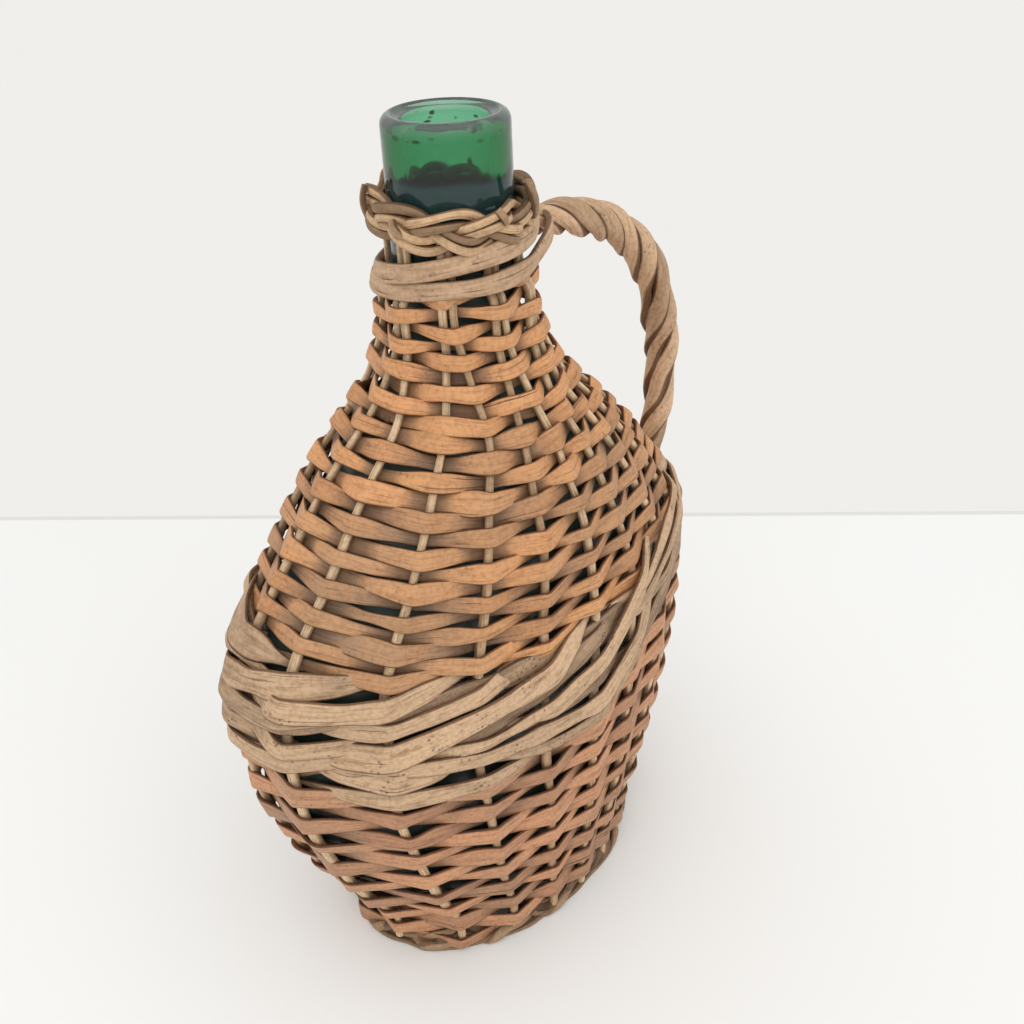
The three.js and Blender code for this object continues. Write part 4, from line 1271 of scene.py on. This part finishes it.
class DEMIJOHN_OT_base(bpy.types.Operator):
    """Dresses the crossed sticks and weavers of the base"""

    bl_idname = "demijohn.base"
    bl_label = "Woven base"

    stick_steps = 60
    weaver_steps = 360
    weaver_swing = 0.0029
    weaver_corner = 3.0

    def execute(self, context):
        sizes = context.scene.demijohn_jacket
        bundle = Bundle(sizes.seed + 9)
        sticks = numbered("base_long_stick", 1, 3) + numbered("base_short_stick", 1, 5)
        s = np.linspace(-1.0, 1.0, self.stick_steps)[:, None]
        ends = []
        for name in sticks:
            low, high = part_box(name)
            middle, reach = (low + high) / 2, (high - low) / 2
            lengthwise = reach.x > reach.y
            axis = np.array([1.0, 0.0, 0.0] if lengthwise else [0.0, 1.0, 0.0])
            half = reach.x if lengthwise else reach.y
            points = np.array(middle) + axis * s * half
            size = reach.z * (1 + bundle.rough(self.stick_steps, size=0.06, spread=8))
            bundle.add(points, np.broadcast_to(UP, points.shape), size, size)
            ends += [(np.array(middle) + axis * half * way, lengthwise) for way in (-1, 1)]
        dress(bundle, "base_sticks", "Stake willow", "stake_willow", sticks)
        strips = Bundle(sizes.seed + 10)
        for ring in (1, 2):
            low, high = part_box(f"base_weaver_{ring}")
            half_length = (high.x - low.x) / 2 - sizes.lower_width / 2
            half_width = (high.y - low.y) / 2 - sizes.lower_width / 2
            stops = []
            for end, lengthwise in ends:
                x, y = (end[0] - AXIS_X) / half_length, end[1] / half_width
                if lengthwise:
                    x = math.copysign(math.sqrt(max(1 - y * y, 0.0)), x)
                else:
                    y = math.copysign(math.sqrt(max(1 - x * x, 0.0)), y)
                stops.append((math.atan2(y, x), end[2]))
            stops = np.array(sorted(stops))
            swing = np.where((np.arange(len(stops)) + ring) % 2, 1, -1) * self.weaver_swing
            turns = np.append(stops[:, 0], stops[0, 0] + FULL_TURN)
            levels = np.append(stops[:, 1] + swing, stops[0, 1] + swing[0])
            dense = np.linspace(turns[0], turns[-1], self.weaver_steps)
            points = oval(dense, half_length, half_width, np.interp(dense, turns, levels))
            points = softened(points, self.weaver_corner)
            out = np.broadcast_to(UP, points.shape)
            strips.add(points, out, sizes.lower_width / 2, sizes.thickness / 2)
        nodes = numbered("base_weaver", 1, 2)
        dress(strips, "base_weave", "Lower weave", "lower_weave", nodes, squareness=0.42)
        return {"FINISHED"}


class DEMIJOHN_OT_stage(bpy.types.Operator):
    """Sets the floor, the light and the camera"""

    bl_idname = "demijohn.stage"
    bl_label = "Stage"

    floor_reach = 4.0
    # Width of the painted shade line along the floor's far edge, and the share of it where the shade is full.
    edge_line = 0.005
    edge_full = 0.8
    key_size = 1.5
    key_place = (-0.3, -0.46, 1.22)

    def execute(self, context):
        setup = context.scene.demijohn_stage
        self.floor(context, setup)
        self.light(context, setup)
        self.camera(context, setup)
        context.scene.view_settings.view_transform = "Standard"
        return {"FINISHED"}

    def floor(self, context, setup):
        ahead = Vector((math.cos(setup.wall_heading), math.sin(setup.wall_heading), 0.0))
        beside = Vector((ahead.y, -ahead.x, 0.0))
        far = Vector((AXIS_X, 0.0, 0.0)) + ahead * setup.wall
        reach = self.floor_reach
        corners = [far - beside * reach, far - beside * reach - ahead * reach,
                   far + beside * reach - ahead * reach, far + beside * reach]
        mesh = bpy.data.meshes.new("floor")
        mesh.from_pydata([tuple(c) for c in corners], [], [(0, 1, 2, 3)])
        material, ink = blank("Floor")
        place = ink.node("ShaderNodeTexCoord", out="Object")
        depth = ink.vector("DOT_PRODUCT", place, tuple(ahead)).also("Value")
        # Painted shade: a darker line along the far edge, where the floor meets the wall.
        edge = (depth - far.dot(ahead)).step(-self.edge_line, -self.edge_full * self.edge_line)
        skin = ink.node("ShaderNodeBsdfPrincipled", sockets={
            "Base Color": ink.mix(setup.floor_colour, setup.crease_shade_colour, edge),
            "Roughness": 0.75, "Specular IOR Level": 0.1})
        ink.node("ShaderNodeOutputMaterial", sockets={"Surface": skin})
        mesh.materials.append(material)
        floor = bpy.data.objects.new("floor", mesh)
        context.scene.collection.objects.link(floor)

    def light(self, context, setup):
        world = bpy.data.worlds.new("Studio")
        world.use_nodes = True
        world.node_tree.nodes.clear()
        ink = Wire(world.node_tree)
        rays = ink.node("ShaderNodeLightPath", out="Is Camera Ray")
        seen = rays.sum("MAXIMUM", rays, rays.also("Is Glossy Ray"))
        seen = seen.sum("MAXIMUM", seen, rays.also("Is Transmission Ray"))
        dome = ink.node("ShaderNodeBackground", sockets={
            "Color": (1.0, 1.0, 1.0, 1.0), "Strength": setup.dome})
        wall = ink.node("ShaderNodeBackground", sockets={
            "Color": (*setup.wall_colour, 1.0), "Strength": 1.0})
        sky = ink.node("ShaderNodeMixShader", sockets={0: seen, 1: dome, 2: wall})
        ink.node("ShaderNodeOutputWorld", sockets={"Surface": sky})
        context.scene.world = world
        lamp = bpy.data.lights.new("Key lamp", "AREA")
        lamp.size = self.key_size
        lamp.energy = setup.key
        holder = bpy.data.objects.new("Key lamp", lamp)
        holder.location = self.key_place
        aim = Vector((AXIS_X, 0.0, LIP_TOP / 2)) - holder.location
        holder.rotation_euler = aim.to_track_quat("-Z", "Y").to_euler()
        context.scene.collection.objects.link(holder)

    def camera(self, context, setup):
        level, fall = math.cos(setup.tilt), -math.sin(setup.tilt)
        forward = Vector((math.cos(setup.heading) * level, math.sin(setup.heading) * level, fall))
        flat = Vector((math.sin(setup.heading), -math.cos(setup.heading), 0.0))
        top = flat.cross(forward)
        right = flat * math.cos(setup.roll) + top * math.sin(setup.roll)
        up = right.cross(forward)
        lens = bpy.data.cameras.new("Camera")
        lens.lens = lens.sensor_width
        eye = bpy.data.objects.new("Camera", lens)
        turn = Matrix((right, up, -forward)).transposed().to_4x4()
        eye.matrix_world = Matrix.Translation(
            (AXIS_X + setup.eye[0], setup.eye[1], setup.eye[2])) @ turn
        lens.clip_start = 0.01
        context.scene.collection.objects.link(eye)
        context.scene.camera = eye


OPERATORS = (
    DEMIJOHN_OT_glass, DEMIJOHN_OT_stakes, DEMIJOHN_OT_weave, DEMIJOHN_OT_wale, DEMIJOHN_OT_neck_bands,
    DEMIJOHN_OT_plait, DEMIJOHN_OT_handle, DEMIJOHN_OT_foot_rope, DEMIJOHN_OT_base, DEMIJOHN_OT_stage,
)
SETTINGS = {
    "demijohn_flask": FlaskSizes, "demijohn_jacket": JacketSizes, "demijohn_trim": TrimSizes,
    "demijohn_finish": Finishes, "demijohn_stage": StageSetup,
}


class DEMIJOHN_PT_panel(bpy.types.Panel):
    """Lists the demijohn's settings and makers"""

    bl_idname = "DEMIJOHN_PT_panel"
    bl_label = "Wicker demijohn"
    bl_space_type = "VIEW_3D"
    bl_region_type = "UI"
    bl_category = "Demijohn"

    def draw(self, context):
        for key, group in SETTINGS.items():
            box = self.layout.box()
            box.label(text=group.__doc__)
            for name in group.__annotations__:
                box.prop(getattr(context.scene, key), name)
        for operator in OPERATORS:
            self.layout.operator(operator.bl_idname)


def register():
    for kind in (*SETTINGS.values(), *OPERATORS, DEMIJOHN_PT_panel):
        bpy.utils.register_class(kind)
    for key, group in SETTINGS.items():
        setattr(bpy.types.Scene, key, bpy.props.PointerProperty(type=group))


def unregister():
    for key in SETTINGS:
        delattr(bpy.types.Scene, key)
    for kind in (DEMIJOHN_PT_panel, *reversed(OPERATORS), *SETTINGS.values()):
        bpy.utils.unregister_class(kind)


def main():
    register()
    bpy.ops.demijohn.glass()
    bpy.ops.demijohn.stakes()
    bpy.ops.demijohn.weave()
    bpy.ops.demijohn.wale()
    bpy.ops.demijohn.neck_bands()
    bpy.ops.demijohn.plait()
    bpy.ops.demijohn.handle()
    bpy.ops.demijohn.foot_rope()
    bpy.ops.demijohn.base()
    bpy.ops.demijohn.stage()


if __name__ == "__main__":
    main()
